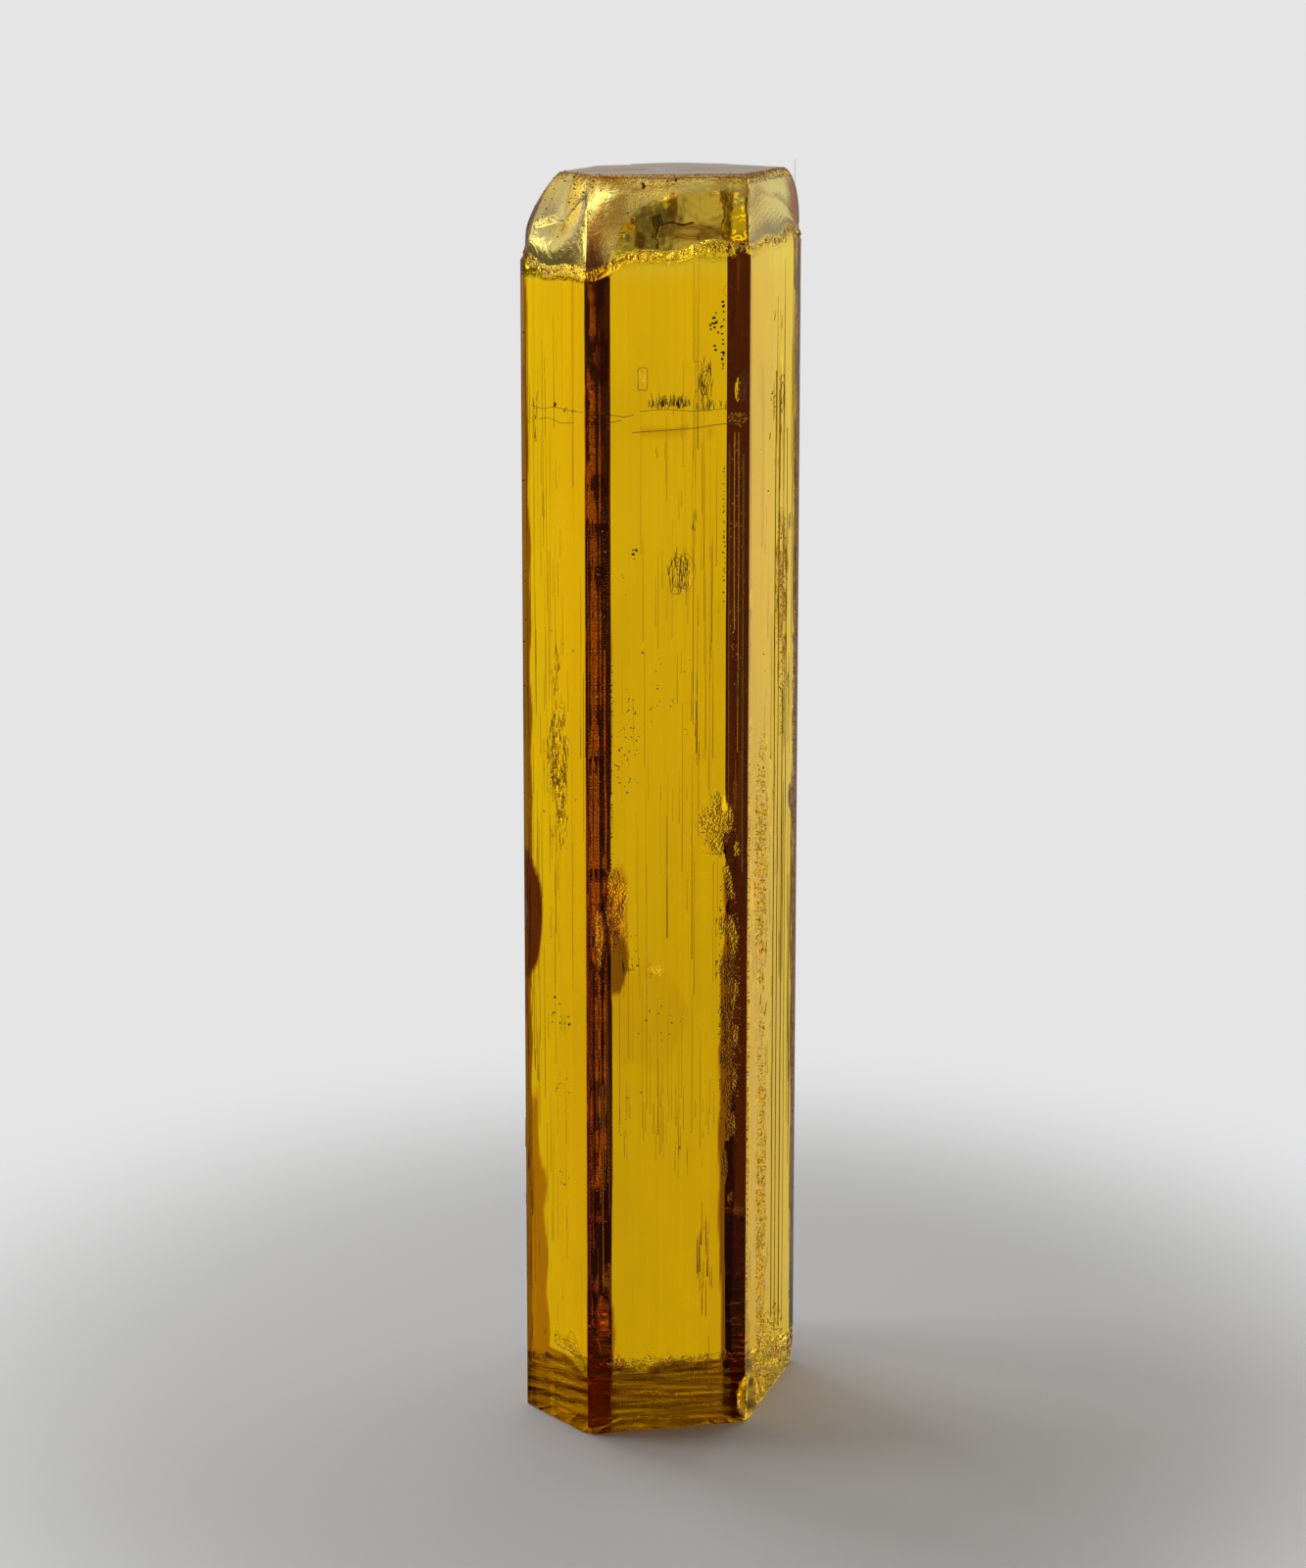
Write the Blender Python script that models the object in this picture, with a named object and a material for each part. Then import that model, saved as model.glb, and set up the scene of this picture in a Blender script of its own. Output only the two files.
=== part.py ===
"""A heliodor crystal: one six-sided prism of golden beryl with a pale, rounded cap.

The crystal stands on its broken base, its long axis along +Z and its broad
front face towards -Y. The origin is the middle of the base. Metres, +Z up.
"""
import math

import bmesh
import bpy
from mathutils import Matrix, Vector

MM = 0.001

# Prism: the lengths of the six sides at the base follow from four of them,
# because every corner of the section is 120 degrees.
CRYSTAL_HEIGHT = 125.0 * MM
LEFT_FRONT_SIDE = 10.0 * MM
FRONT_SIDE = 16.2 * MM
RIGHT_FRONT_SIDE = 16.6 * MM
RIGHT_BACK_SIDE = 14.2 * MM
FRONT_YAW = math.radians(10.55)
TOP_NARROWING = 0.028
CORNER_TURN = math.radians(60.0)
CELL_WIDTH = 1.5 * MM

# Cap: a row for each corner and for each side between two corners, going round
# from the left corner. In millimetres: the ledge's height and how deep it steps
# in, then the shoulder's width and drop to the rim. Last, the shoulder's power:
# 1 is a plain bevel and 2 a round one.
CAP_ROWS = (
    ("left corner", 116.8, 0.32, 3.1, 5.4, 1.3),
    ("left front side", 115.4, 0.40, 2.6, 4.6, 1.4),
    ("front left corner", 115.5, 0.30, 1.2, 2.2, 1.8),
    ("front side", 117.3, 0.32, 0.8, 1.1, 2.0),
    ("front right corner", 117.9, 0.20, 0.9, 1.4, 2.0),
    ("right front side", 118.0, 0.16, 1.1, 2.6, 2.0),
    ("right corner", 118.3, 0.08, 1.7, 5.4, 2.2),
    ("right back side", 119.4, 0.16, 1.2, 3.0, 2.0),
    ("back right corner", 122.0, 0.20, 0.8, 1.6, 2.0),
    ("back side", 121.6, 0.22, 0.8, 1.6, 2.0),
    ("back left corner", 117.6, 0.26, 1.4, 3.0, 1.8),
    ("left back side", 117.0, 0.30, 2.4, 4.6, 1.4),
)
LEDGE_RISE = 0.35 * MM
PILLOW_SWELL = 0.22 * MM
CAP_WALL_RINGS = 4
SHOULDER_RINGS = 6

# Chips: shallow shells broken off the edges and the foot. Each has its corner
# (counted from the left corner round the front), the height of its middle, its
# half width and half height in millimetres, and how much of its half width
# stays outside the corner.
CHIPS = (
    ("back_left_edge_chip", 5, 49.5, 2.2, 6.4, 0.76),
    ("back_right_edge_chip", 4, 60.0, 2.0, 3.2, 0.74),
    ("left_edge_chip", 0, 53.0, 2.0, 6.2, 0.80),
    ("front_right_foot_chip", 2, 2.6, 1.5, 3.1, 0.66),
    ("right_foot_chip", 3, 0.4, 2.0, 2.6, 0.76),
    ("front_left_foot_chip", 1, 0.0, 1.1, 0.9, 0.72),
)
CHIP_SEGMENTS = 12

GOLDEN_BERYL = (0.80, 0.52, 0.03, 1.0)
BERYL_ROUGHNESS = 0.06
BERYL_INDEX = 1.575


def clear_scene():
    for old in list(bpy.data.objects):
        bpy.data.objects.remove(old)


def prism_corners():
    """Corners of the section at the base, from the left corner round the front."""
    left_back_side = RIGHT_FRONT_SIDE + RIGHT_BACK_SIDE - LEFT_FRONT_SIDE
    back_side = LEFT_FRONT_SIDE + FRONT_SIDE - RIGHT_BACK_SIDE
    sides = (LEFT_FRONT_SIDE, FRONT_SIDE, RIGHT_FRONT_SIDE, RIGHT_BACK_SIDE, back_side, left_back_side)
    heading = FRONT_YAW - CORNER_TURN
    corner = Vector((0.0, 0.0))
    corners = []
    for side in sides:
        corners.append(corner.copy())
        corner += side * Vector((math.cos(heading), math.sin(heading)))
        heading += CORNER_TURN
    middle_x = (min(c.x for c in corners) + max(c.x for c in corners)) / 2
    middle_y = (min(c.y for c in corners) + max(c.y for c in corners)) / 2
    return [c - Vector((middle_x, middle_y)) for c in corners]


def corner_bisectors(corners):
    """For each corner, the way it moves inwards when both its sides move in by one."""
    bisectors = []
    for index, corner in enumerate(corners):
        before = (corners[index - 1] - corner).normalized()
        after = (corners[(index + 1) % len(corners)] - corner).normalized()
        inward = (before + after).normalized()
        bisectors.append(inward / math.sin((math.pi - CORNER_TURN) / 2))
    return bisectors


def smooth(t):
    return t * t * (3 - 2 * t)


def stations(corners):
    """Points round the section: the side each is on, and how far along it."""
    found = []
    for side, corner in enumerate(corners):
        length = (corners[(side + 1) % len(corners)] - corner).length
        cells = round(length / CELL_WIDTH)
        found.extend((side, cell / cells) for cell in range(cells))
    return found


def cap_row(side, along):
    """The cap's measures at a place, blended between the rows on either hand of it."""
    place = 2 * (side + along)
    index = int(place)
    here = CAP_ROWS[index % len(CAP_ROWS)][1:]
    there = CAP_ROWS[(index + 1) % len(CAP_ROWS)][1:]
    part = smooth(place - index)
    return [start + (end - start) * part for start, end in zip(here, there)]


def section_point(corners, bisectors, side, along, inset, height):
    """A point of the crystal's side, moved in by an inset, at a height."""
    narrowing = 1 - TOP_NARROWING * height / CRYSTAL_HEIGHT
    after = (side + 1) % len(corners)
    start = corners[side] * narrowing + bisectors[side] * inset
    end = corners[after] * narrowing + bisectors[after] * inset
    flat = start.lerp(end, along)
    return Vector((flat.x, flat.y, height))


def cap_profile(side, along):
    """Height and inset of each ring from the base to the rim, at one station."""
    ledge, depth, width, drop, power = cap_row(side, along)
    ledge, depth, width, drop = ledge * MM, depth * MM, width * MM, drop * MM
    wall_start = ledge + LEDGE_RISE
    wall_end = max(CRYSTAL_HEIGHT - drop, wall_start + LEDGE_RISE)
    drop = CRYSTAL_HEIGHT - wall_end
    swell = PILLOW_SWELL * math.sin(math.pi * along)
    rings = [(0.0, 0.0), (ledge, 0.0)]
    for step in range(CAP_WALL_RINGS):
        t = step / CAP_WALL_RINGS
        height = wall_start + (wall_end - wall_start) * t
        rings.append((height, depth - swell * math.sin(math.pi * t)))
    for step in range(SHOULDER_RINGS + 1):
        angle = math.pi / 2 * step / SHOULDER_RINGS
        rise = math.sin(angle) ** (2 / power)
        back = 1 - max(math.cos(angle), 0.0) ** (2 / power)
        rings.append((wall_end + drop * rise, depth + width * back))
    return rings


def grow_crystal(corners, bisectors):
    """The prism and its cap as one closed mesh, ring over ring."""
    mesh = bmesh.new()
    places = stations(corners)
    columns = []
    for side, along in places:
        column = [
            mesh.verts.new(section_point(corners, bisectors, side, along, inset, height))
            for height, inset in cap_profile(side, along)
        ]
        columns.append(column)
    for index, column in enumerate(columns):
        beside = columns[(index + 1) % len(columns)]
        for ring in range(len(column) - 1):
            mesh.faces.new((column[ring], beside[ring], beside[ring + 1], column[ring + 1]))
    mesh.faces.new([column[0] for column in reversed(columns)])
    mesh.faces.new([column[-1] for column in columns])
    bmesh.ops.recalc_face_normals(mesh, faces=mesh.faces[:])
    return mesh


def beryl_material():
    material = bpy.data.materials.new("golden_beryl")
    material.use_nodes = True
    shader = material.node_tree.nodes["Principled BSDF"]
    shader.inputs["Base Color"].default_value = GOLDEN_BERYL
    shader.inputs["Roughness"].default_value = BERYL_ROUGHNESS
    shader.inputs["Metallic"].default_value = 0.0
    shader.inputs["IOR"].default_value = BERYL_INDEX
    shader.inputs["Transmission Weight"].default_value = 1.0
    return material


def chip_cutter(name, corner, middle, half_width, half_height, outside):
    """An egg-shaped cutter set off a corner so that only its inner end bites."""
    outward = corner.normalized()
    centre = corner + outward * (half_width * outside * MM)
    mesh = bmesh.new()
    scale = Matrix.Diagonal((half_width * MM, half_width * MM, half_height * MM, 1.0))
    bmesh.ops.create_uvsphere(mesh, u_segments=CHIP_SEGMENTS, v_segments=CHIP_SEGMENTS, radius=1.0, matrix=scale)
    data = bpy.data.meshes.new(name)
    mesh.to_mesh(data)
    mesh.free()
    cutter = bpy.data.objects.new(name, data)
    cutter.location = (centre.x, centre.y, middle * MM)
    cutter.rotation_euler.z = math.atan2(outward.y, outward.x)
    cutter.hide_render = True
    cutter.display_type = "WIRE"
    bpy.context.collection.objects.link(cutter)
    return cutter


def chip_away(crystal, cutter):
    bite = crystal.modifiers.new(cutter.name, "BOOLEAN")
    bite.operation = "DIFFERENCE"
    bite.solver = "EXACT"
    bite.object = cutter


def build_crystal():
    corners = prism_corners()
    mesh = grow_crystal(corners, corner_bisectors(corners))
    data = bpy.data.meshes.new("heliodor_crystal")
    mesh.to_mesh(data)
    mesh.free()
    data.materials.append(beryl_material())
    crystal = bpy.data.objects.new("heliodor_crystal", data)
    bpy.context.collection.objects.link(crystal)
    for name, corner, middle, half_width, half_height, outside in CHIPS:
        cutter = chip_cutter(name, corners[corner], middle, half_width, half_height, outside)
        chip_away(crystal, cutter)


clear_scene()
build_crystal()
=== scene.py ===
import math

import bmesh
import bpy
import numpy as np
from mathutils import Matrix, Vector


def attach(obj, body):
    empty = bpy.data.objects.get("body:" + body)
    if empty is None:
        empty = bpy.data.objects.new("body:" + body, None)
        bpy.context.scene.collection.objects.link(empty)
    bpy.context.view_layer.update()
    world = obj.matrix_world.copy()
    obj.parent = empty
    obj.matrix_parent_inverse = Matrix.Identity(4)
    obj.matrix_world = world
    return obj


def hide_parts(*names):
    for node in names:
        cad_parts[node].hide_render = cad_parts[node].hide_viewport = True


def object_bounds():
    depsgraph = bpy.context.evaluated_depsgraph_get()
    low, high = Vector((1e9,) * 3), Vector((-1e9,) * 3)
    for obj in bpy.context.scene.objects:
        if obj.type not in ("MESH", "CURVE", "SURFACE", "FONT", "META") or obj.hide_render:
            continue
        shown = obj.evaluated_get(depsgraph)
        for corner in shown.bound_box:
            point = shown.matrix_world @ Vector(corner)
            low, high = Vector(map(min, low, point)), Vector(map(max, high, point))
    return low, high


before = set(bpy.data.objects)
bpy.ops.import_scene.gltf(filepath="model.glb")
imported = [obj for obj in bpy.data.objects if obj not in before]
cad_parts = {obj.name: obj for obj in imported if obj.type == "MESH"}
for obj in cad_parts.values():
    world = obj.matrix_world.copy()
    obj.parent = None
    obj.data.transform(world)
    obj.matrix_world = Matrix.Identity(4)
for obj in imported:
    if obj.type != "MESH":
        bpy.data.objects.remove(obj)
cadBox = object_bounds()
mm = 0.001

# the prism's own measures, the same ones that the solid is built from
prism = {
    "leftFrontSide": 10.0 * mm,
    "frontSide": 16.2 * mm,
    "rightFrontSide": 16.6 * mm,
    "rightBackSide": 14.2 * mm,
    "frontYaw": math.radians(10.55),
    "cornerTurn": math.radians(60.0),
    "topNarrowing": 0.028,
    "height": cadBox[1][2] - cadBox[0][2],
}

# each row: place round the cap (0 is the left corner, 2 the next), ledge height, ledge depth, shoulder width,
# shoulder drop (mm), shoulder power, wall lean (mm)
capRows = {
    "leftCorner": (0.0, 116.8, 0.32, 3.1, 5.4, 1.3, 0.1),
    "leftFrontSide": (1.0, 115.4, 0.40, 2.6, 4.6, 1.4, 0.7),
    "frontLeftCorner": (2.0, 115.5, 0.30, 1.2, 2.2, 1.8, 0.5),
    "frontSide": (3.0, 117.3, 0.32, 0.8, 1.1, 2.0, 0.06),
    "frontRightCorner": (4.0, 117.9, 0.20, 0.9, 1.4, 2.0, 0.05),
    "rightFrontSide": (5.0, 118.0, 0.16, 1.1, 2.6, 2.0, 0.10),
    "rightCorner": (6.0, 118.3, 0.08, 1.7, 5.4, 2.2, 0.05),
    "rightBackSide": (7.0, 117.4, 0.16, 1.6, 4.0, 1.8, 0.20),
    "rightBackEnd": (7.92, 116.6, 0.20, 1.0, 2.4, 2.0, 0.20),
    "backRightCorner": (8.0, 122.0, 0.20, 0.8, 1.6, 2.0, 0.20),
    "backSide": (8.7, 122.2, 0.22, 0.8, 1.6, 2.0, 0.60),
    "backSideBend": (9.3, 121.4, 0.22, 0.8, 1.8, 2.0, 0.60),
    "backSideEnd": (9.6, 120.0, 0.22, 0.8, 2.4, 2.0, 0.60),
    "backLeftCorner": (9.96, 117.3, 0.26, 1.6, 4.0, 1.6, 0.4),
    "leftBackSide": (11.0, 116.9, 0.30, 2.6, 5.4, 1.4, 0.2),
}

# wear of each corner of the cap, from the left corner round the front: depth, width before and after it (mm)
capBevels = ((0.12, 0.8, 1.0), (0.03, 0.3, 0.3), (0.06, 0.3, 0.3), (0.03, 0.3, 0.3), (1.30, 3.4, 3.8),
             (3.20, 7.6, 5.2))

# a ripple is given by its seed, its height or share, and its sizes (mm)
crystal = {
    "columnWidths": (0.20, 0.20, 0.20, 0.30, 0.30, 0.30),  # mm, side by side from the left front
    "bodySpans": ((0, 8, 0.32), (8, 42, 1.0), (42, 74, 0.6), (74, 83, 0.9), (83, 91, 0.5),
                  (91, 100, 1.0), (100, 112, 0.6), (112, 115.4, 0.4)),  # from, to, row height in mm
    "ledgeRows": 6,
    "ledgeRise": 1.05,  # mm
    "ledgeWander": ((3, 0.30, (7.0, 7.0)),),  # mm up and down along the ledge
    "ledgeCrinkle": 0.06,
    "crinkles": ((5, 1.0, (0.8, 0.8, 0.6)), (6, 0.6, (0.4, 0.4, 0.5))),
    "leastWall": 0.35,
    "wallRows": 30,
    "pillowSwells": (0.35, 0.10, 0.15, 0.15, 0.0, 0.08),  # side by side from the left front
    "pillowWaves": ((8, 0.04, (9.0, 9.0, 7.0)),),
    "leanCurve": 1.15,
    "leastShoulder": 0.3,
    "capGrain": ((51, 0.005, (0.6, 0.6, 0.6)),),
    "capFrost": (0.8, 0.0, 0.6, 0.4, 0.6, 0.3),
    "archRuns": (0.0, 2.2, 2.9, 3.4, 5.1, 6.6, 7.9, 10.0, 13.2),  # mm, the clear arch's edge along the front
    "archHeights": (116.0, 117.0, 118.6, 120.0, 121.8, 122.6, 123.1, 123.3, 123.5),
    "archTint": 0.15,  # how pale it is inside the arch
    "goldenWall": (118.6, 3.6),  # mm up to which the right back side stays golden, and its rise along it
    "paleBack": (0.75, 113.5, 2.0),  # how pale the back is, from what height and over how much (mm)
    "ledgeRoughness": 0.7,
    "shoulderRows": 16,
    "topRows": 12,
    "topSteps": 0.010,
    "topStepRipple": ((41, 1.0, (14.0, 2.4)),),
    "footRows": 20,
    "footRelief": 0.20,
    "footLevels": (0.5, 0.4, 1.3),  # shares of the relief: its middle, its swing and the most
    "footSteps": ((31, 1.0, (16.0, 4.0)), (32, 0.12, (6.0, 0.8))),
    "footNotches": 0.25,
    "notchRipple": ((61, 1.0, (2.6, 2.6)),),
    "notchFrom": 0.35,  # the part of the ripple that stays a flat edge
    "leftEdgeBevel": {"depth": 0.12, "topWidth": 0.8, "footWidth": 1.8, "backWidth": 0.3, "top": 116},  # mm
    "sharpAngle": math.radians(28),
}

# ridges left by growth, for each side from the left front round, in mm
ridges = {
    "seed": 11,
    "counts": (22, 26, 70, 40, 34, 50),
    "depths": (0.012, 0.010, 0.016, 0.020, 0.016, 0.020),
    "halfWidths": (0.12, 0.42),
    "lengths": (4.0, 60.0),
    "middles": (-5, 118),
    "depthShares": (-0.4, 1.0),
    "softness": (0.2, 2.0),  # mm across and at the ends
}

# pits: side, place along it, height, half width, half height, depth (mm), squareness
etchPits = {
    "frontPane": (1, 5.55, 106.4, 0.45, 1.15, 0.05, 8),
    "frontRightOval": (1, 11.4, 106.3, 0.70, 1.45, 0.05, 2),
    "frontMiddleOval": (1, 9.6, 87.2, 1.15, 2.10, 0.05, 2),
    "frontEdgeOval": (1, 15.3, 105.0, 0.55, 1.60, 0.05, 2),
    "rightOval": (2, 10.0, 106.6, 0.50, 1.60, 0.05, 2),
    "frontStar": (1, 7.2, 48.5, 0.60, 0.80, 0.05, 2),
}

# rough patches: side, place along it, height, half width, half height, depth (mm), raggedness, strength
roughPatches = {
    "frontFan": (1, 12.7, 62.6, 1.7, 2.6, 0.05, 0.30, 1.0),
    "chip": (1, 3.0, 55.0, 1.15, 4.2, 0.05, 0.08, 1.0),
    "chipSliver": (1, 1.2, 52.0, 0.35, 3.6, 0.05, 0.25, 1.0),
    "star": (1, 7.2, 48.6, 0.9, 0.7, 0.04, 0.35, 0.7),
    "stripPatch": (1, 14.4, 44.0, 0.8, 14.0, 0.05, 0.35, 0.9),
    "leftPatch": (0, 5.7, 68.7, 1.2, 5.0, 0.02, 0.35, 1.0),
    "rightBand": (2, 10.8, 84.0, 1.9, 8.4, 0.07, 0.35, 0.9),
    "rightStripHigh": (2, 4.6, 57.5, 2.4, 12.0, 0.06, 0.35, 0.9),
    "rightStripLow": (2, 5.0, 21.0, 1.9, 21.0, 0.06, 0.35, 0.9),
    "rightFringe": (2, 0.7, 38.0, 0.6, 38.0, 0.05, 0.35, 0.6),
    "rightEdgeBand": (2, 15.8, 66.0, 0.8, 50.0, 0.05, 0.35, 0.6),
    "footGlitter": (1, 7.0, 7.5, 6.6, 0.45, 0.05, 0.40, 0.5),
    "footGlitterLeft": (0, 6.6, 8.7, 3.0, 0.5, 0.05, 0.40, 0.5),
}

# stains and painted shade: side, place along it at the middle, height, half width, half height (mm), share
stainsAndShade = {
    "leftWedge": (0, 0.0, 52.4, 3.1, 6.9, 1.0),
    "leftBand": (0, 0.0, 62.0, 1.5, 70.0, 0.92),
    "leftBandLow": (0, 0.0, 4.0, 3.8, 34.0, 0.68),
    "chipTop": (1, 3.1, 55.0, 1.15, 4.4, 0.38),
    "chipFoot": (1, 2.8, 49.8, 1.35, 3.4, 0.90),
    # painted shade: darker along the front's left dark strip
    "leftStrip": (1, 1.1, 60.0, 1.45, 66.0, 0.36),
    "frontCloud": (1, 6.0, 43.5, 4.2, 5.5, 0.12),
    "chipRoot": (1, 2.1, 52.2, 0.8, 4.6, 0.80),
    # painted shade: darker along the front's right dark strip and at the foot of the left one
    "stripOlive": (1, 14.2, 30.0, 0.8, 27.0, 0.90),
    "stripFoot": (1, 1.2, 9.0, 1.6, 8.0, 0.72),
    # painted shade: soft dark spots round the rod, the hook and the disc inside the cap, and a painted shadow
    # under the veil line
    "rodShade": (1, 8.6, 121.8, 0.55, 1.5, 0.62),
    "hookShade": (1, 5.4, 119.0, 0.55, 0.9, 0.70),
    "discShade": (1, 10.2, 119.7, 3.6, 0.8, 0.32),
    "veilShade": (1, 10.6, 101.35, 5.2, 0.28, 0.30),
    "rightEdge": (2, 16.4, 60.0, 1.2, 80.0, 0.70),
    "rightBand": (2, 11.0, 84.0, 2.0, 8.6, 0.12),
    "cornerBandHigh": (2, 4.6, 57.5, 2.4, 12.0, 0.10),
    "cornerBandLow": (2, 5.0, 21.0, 1.9, 21.0, 0.10),
    "rimFront": (1, 9.5, 125.0, 9.5, 0.42, 0.62),
    "rimRight": (2, 3.0, 125.0, 9.0, 0.50, 0.50),
    "rimLeft": (0, 9.0, 125.0, 4.0, 0.35, 0.45),
}

# chips: corner, height of the middle, half width, half height (mm), share of the half width left outside
chips = {
    "backLeftEdge": (5, 49.5, 2.2, 6.4, 0.76),
    "backRightEdge": (4, 60.0, 2.0, 3.2, 0.74),
    "leftEdge": (0, 53.0, 2.0, 6.2, 0.80),
    "frontRightFoot": (2, 2.6, 1.5, 3.1, 0.66),
    "rightFoot": (3, 0.4, 2.0, 2.6, 0.76),
    "frontLeftFoot": (1, 0.0, 1.1, 0.9, 0.72),
}
shellWaves = {"height": 0.04, "count": 26, "middle": (0, 0, 0.9)}  # mm high, round a point of the chip

# ripples along the sides: seed, size across and up (mm)
sideRipples = {
    "patchGrain": (21, 0.9, 1.6),
    "patchEdge": (22, 1.6, 4.0),
    "stainAndShadeEdge": (71, 2.4, 8.0),
    "footEdge": (72, 5.0, 1.0),
    "footStreaks": (73, 9.0, 0.7),
}

# soft edges: of a side in mm, and of a pit, a patch, a stain and a spot of painted shade as a share of its
# own size
softness = {"side": 0.5, "pit": 0.3, "patch": 0.4, "stainAndShade": 0.10}
pitRoughness = 0.3
patchEvenness = (0.6, 0.5)  # share of a patch's depth that is even, and that its grain adds
stainAndShadeRaggedness = 0.06

# painted shade: the brown band at the foot of the front sides
footShade = {
    "top": 7.2,  # mm
    "wander": 0.35,
    "share": 0.50,
    "streaks": 0.16,
    "rim": 0.28,
    "rimDrop": 0.9,
    "rimWidth": 0.8,
    "softness": 0.5,
}


def smooth(t):
    t = np.clip(t, 0.0, 1.0)
    return t * t * (3 - 2 * t)


def ripple(seed, places, sizes, waves=14):  # a smooth random field, about -1 to 1
    rng = np.random.default_rng(seed)
    total = 0.0
    for _ in range(waves):
        heading = rng.normal(size=len(places))
        heading /= np.linalg.norm(heading)
        swing = rng.uniform(0, 2 * math.pi)
        for turn, place, size in zip(heading, places, sizes):
            swing = swing + turn * 2 * math.pi * place / size
        total = total + np.cos(swing)
    return total / math.sqrt(waves / 2)


def layeredRipple(layers, places):
    return sum(amount * ripple(seed, places, [size * mm for size in sizes]) for seed, amount, sizes in layers)


def prismCorners():
    leftBackSide = prism["rightFrontSide"] + prism["rightBackSide"] - prism["leftFrontSide"]
    backSide = prism["leftFrontSide"] + prism["frontSide"] - prism["rightBackSide"]
    lengths = [prism["leftFrontSide"], prism["frontSide"], prism["rightFrontSide"],
               prism["rightBackSide"], backSide, leftBackSide]
    heading = prism["frontYaw"] - prism["cornerTurn"]
    corners = [np.zeros(2)]
    for length in lengths[:-1]:
        corners.append(corners[-1] + length * np.array((math.cos(heading), math.sin(heading))))
        heading += prism["cornerTurn"]
    corners = np.array(corners)
    return corners - (corners.min(axis=0) + corners.max(axis=0)) / 2, np.array(lengths)


def cornerBisectors(corners):
    before = np.roll(corners, 1, axis=0) - corners
    after = np.roll(corners, -1, axis=0) - corners
    before /= np.linalg.norm(before, axis=1)[:, None]
    after /= np.linalg.norm(after, axis=1)[:, None]
    inward = before + after
    inward /= np.linalg.norm(inward, axis=1)[:, None]
    return inward / math.sin((math.pi - prism["cornerTurn"]) / 2)


corners, sideLengths = prismCorners()
bisectors = cornerBisectors(corners)


def onSide(side, along, inset, height):  # a point of the crystal's side, moved in by an inset
    narrowing = (1 - prism["topNarrowing"] * height / prism["height"])[..., None]
    after = (side + 1) % len(corners)
    start = corners[side] * narrowing + bisectors[side] * inset[..., None]
    end = corners[after] * narrowing + bisectors[after] * inset[..., None]
    flat = start + (end - start) * np.asarray(along)[..., None]
    return np.concatenate((flat, height[..., None]), axis=-1)


def layColumns():
    side, along = [], []
    for index, length in enumerate(sideLengths):
        cells = round(length / mm / crystal["columnWidths"][index])
        side.extend([index] * cells)
        along.extend(np.arange(cells) / cells)
    return np.array(side), np.array(along)


def onFace(side, run, height, inset):  # points on a side from mm along it, up it and in from it
    run, height = np.broadcast_arrays(np.asarray(run, float), np.asarray(height, float))
    sides = np.full(run.shape, side)
    return onSide(sides, run * mm / sideLengths[side], inset * mm + 0 * run, height * mm)


def capMeasures(side, along):
    rows = np.array(list(capRows.values()))
    starts = rows[:, 0]
    place = 2 * (side + along)
    index = np.searchsorted(starts, place, side="right") - 1
    ends = np.append(starts[1:], 2 * len(corners))
    share = smooth((place - starts[index]) / (ends - starts)[index])[:, None]
    here = rows[index, 1:]
    there = rows[(index + 1) % len(rows), 1:]
    return (here + (there - here) * share).T


def capWear(side, along):  # mm taken off near the cap's corners
    wear = 0 * along
    lengths = sideLengths[side] / mm
    for corner, (depth, before, after) in enumerate(capBevels):
        share = np.where(side == corner, along * lengths / after, 1.0)
        share = np.where(side == (corner - 1) % len(corners), (1 - along) * lengths / before, share)
        wear += depth * np.clip(1 - share, 0, 1)
    return wear


def bodyShares():  # heights of the body's rows as shares of the ledge's height
    heights = []
    for start, end, step in crystal["bodySpans"]:
        heights.extend(np.linspace(start, end, round((end - start) / step), endpoint=False))
    top = crystal["bodySpans"][-1][1]
    return np.array(heights + [top]) / top


def sideProfile(side, along, footPlaces):  # height, inset (mm) and cap share of every ring above the foot
    ledge, depth, width, drop, power, lean = capMeasures(side, along)
    wear = capWear(side, along)
    ledge = ledge + layeredRipple(crystal["ledgeWander"], footPlaces.T)
    top = prism["height"] / mm
    rings = [(ledge * share, 0 * ledge, 0) for share in bodyShares()]
    rise = crystal["ledgeRise"]
    for t in np.arange(1, crystal["ledgeRows"] + 1) / crystal["ledgeRows"]:
        crinkle = layeredRipple(crystal["crinkles"], (*footPlaces.T, ledge * mm + rise * t * mm))
        step = depth * math.sqrt(t) + crystal["ledgeCrinkle"] * math.sin(math.pi * t) * crinkle
        rings.append((ledge + rise * t, step, 1))
    wallStart = ledge + rise
    wallEnd = np.maximum(top - drop, wallStart + crystal["leastWall"])
    for t in np.arange(1, crystal["wallRows"] + 1) / crystal["wallRows"]:
        height = wallStart + (wallEnd - wallStart) * t
        swell = np.array(crystal["pillowSwells"])[side] * np.sin(math.pi * along)
        waves = layeredRipple(crystal["pillowWaves"], (*footPlaces.T, height * mm))
        back = lean * t ** crystal["leanCurve"] + wear * smooth(t * 5)
        rings.append((height, depth + back - (swell + waves) * math.sin(math.pi * t), 1))
    drop = top - wallEnd
    width = np.maximum(width - lean, crystal["leastShoulder"])
    for angle in np.linspace(0, math.pi / 2, crystal["shoulderRows"] + 1)[1:]:
        rise = math.sin(angle) ** (2 / power)
        back = 1 - max(math.cos(angle), 0) ** (2 / power)
        rings.append((wallEnd + drop * rise, depth + lean + wear + width * back, 1))
    heights = np.array([ring[0] for ring in rings])
    insets = np.array([ring[1] for ring in rings])
    capShare = np.array([ring[2] for ring in rings])[:, None] + 0 * heights
    return heights, insets, capShare


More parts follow.
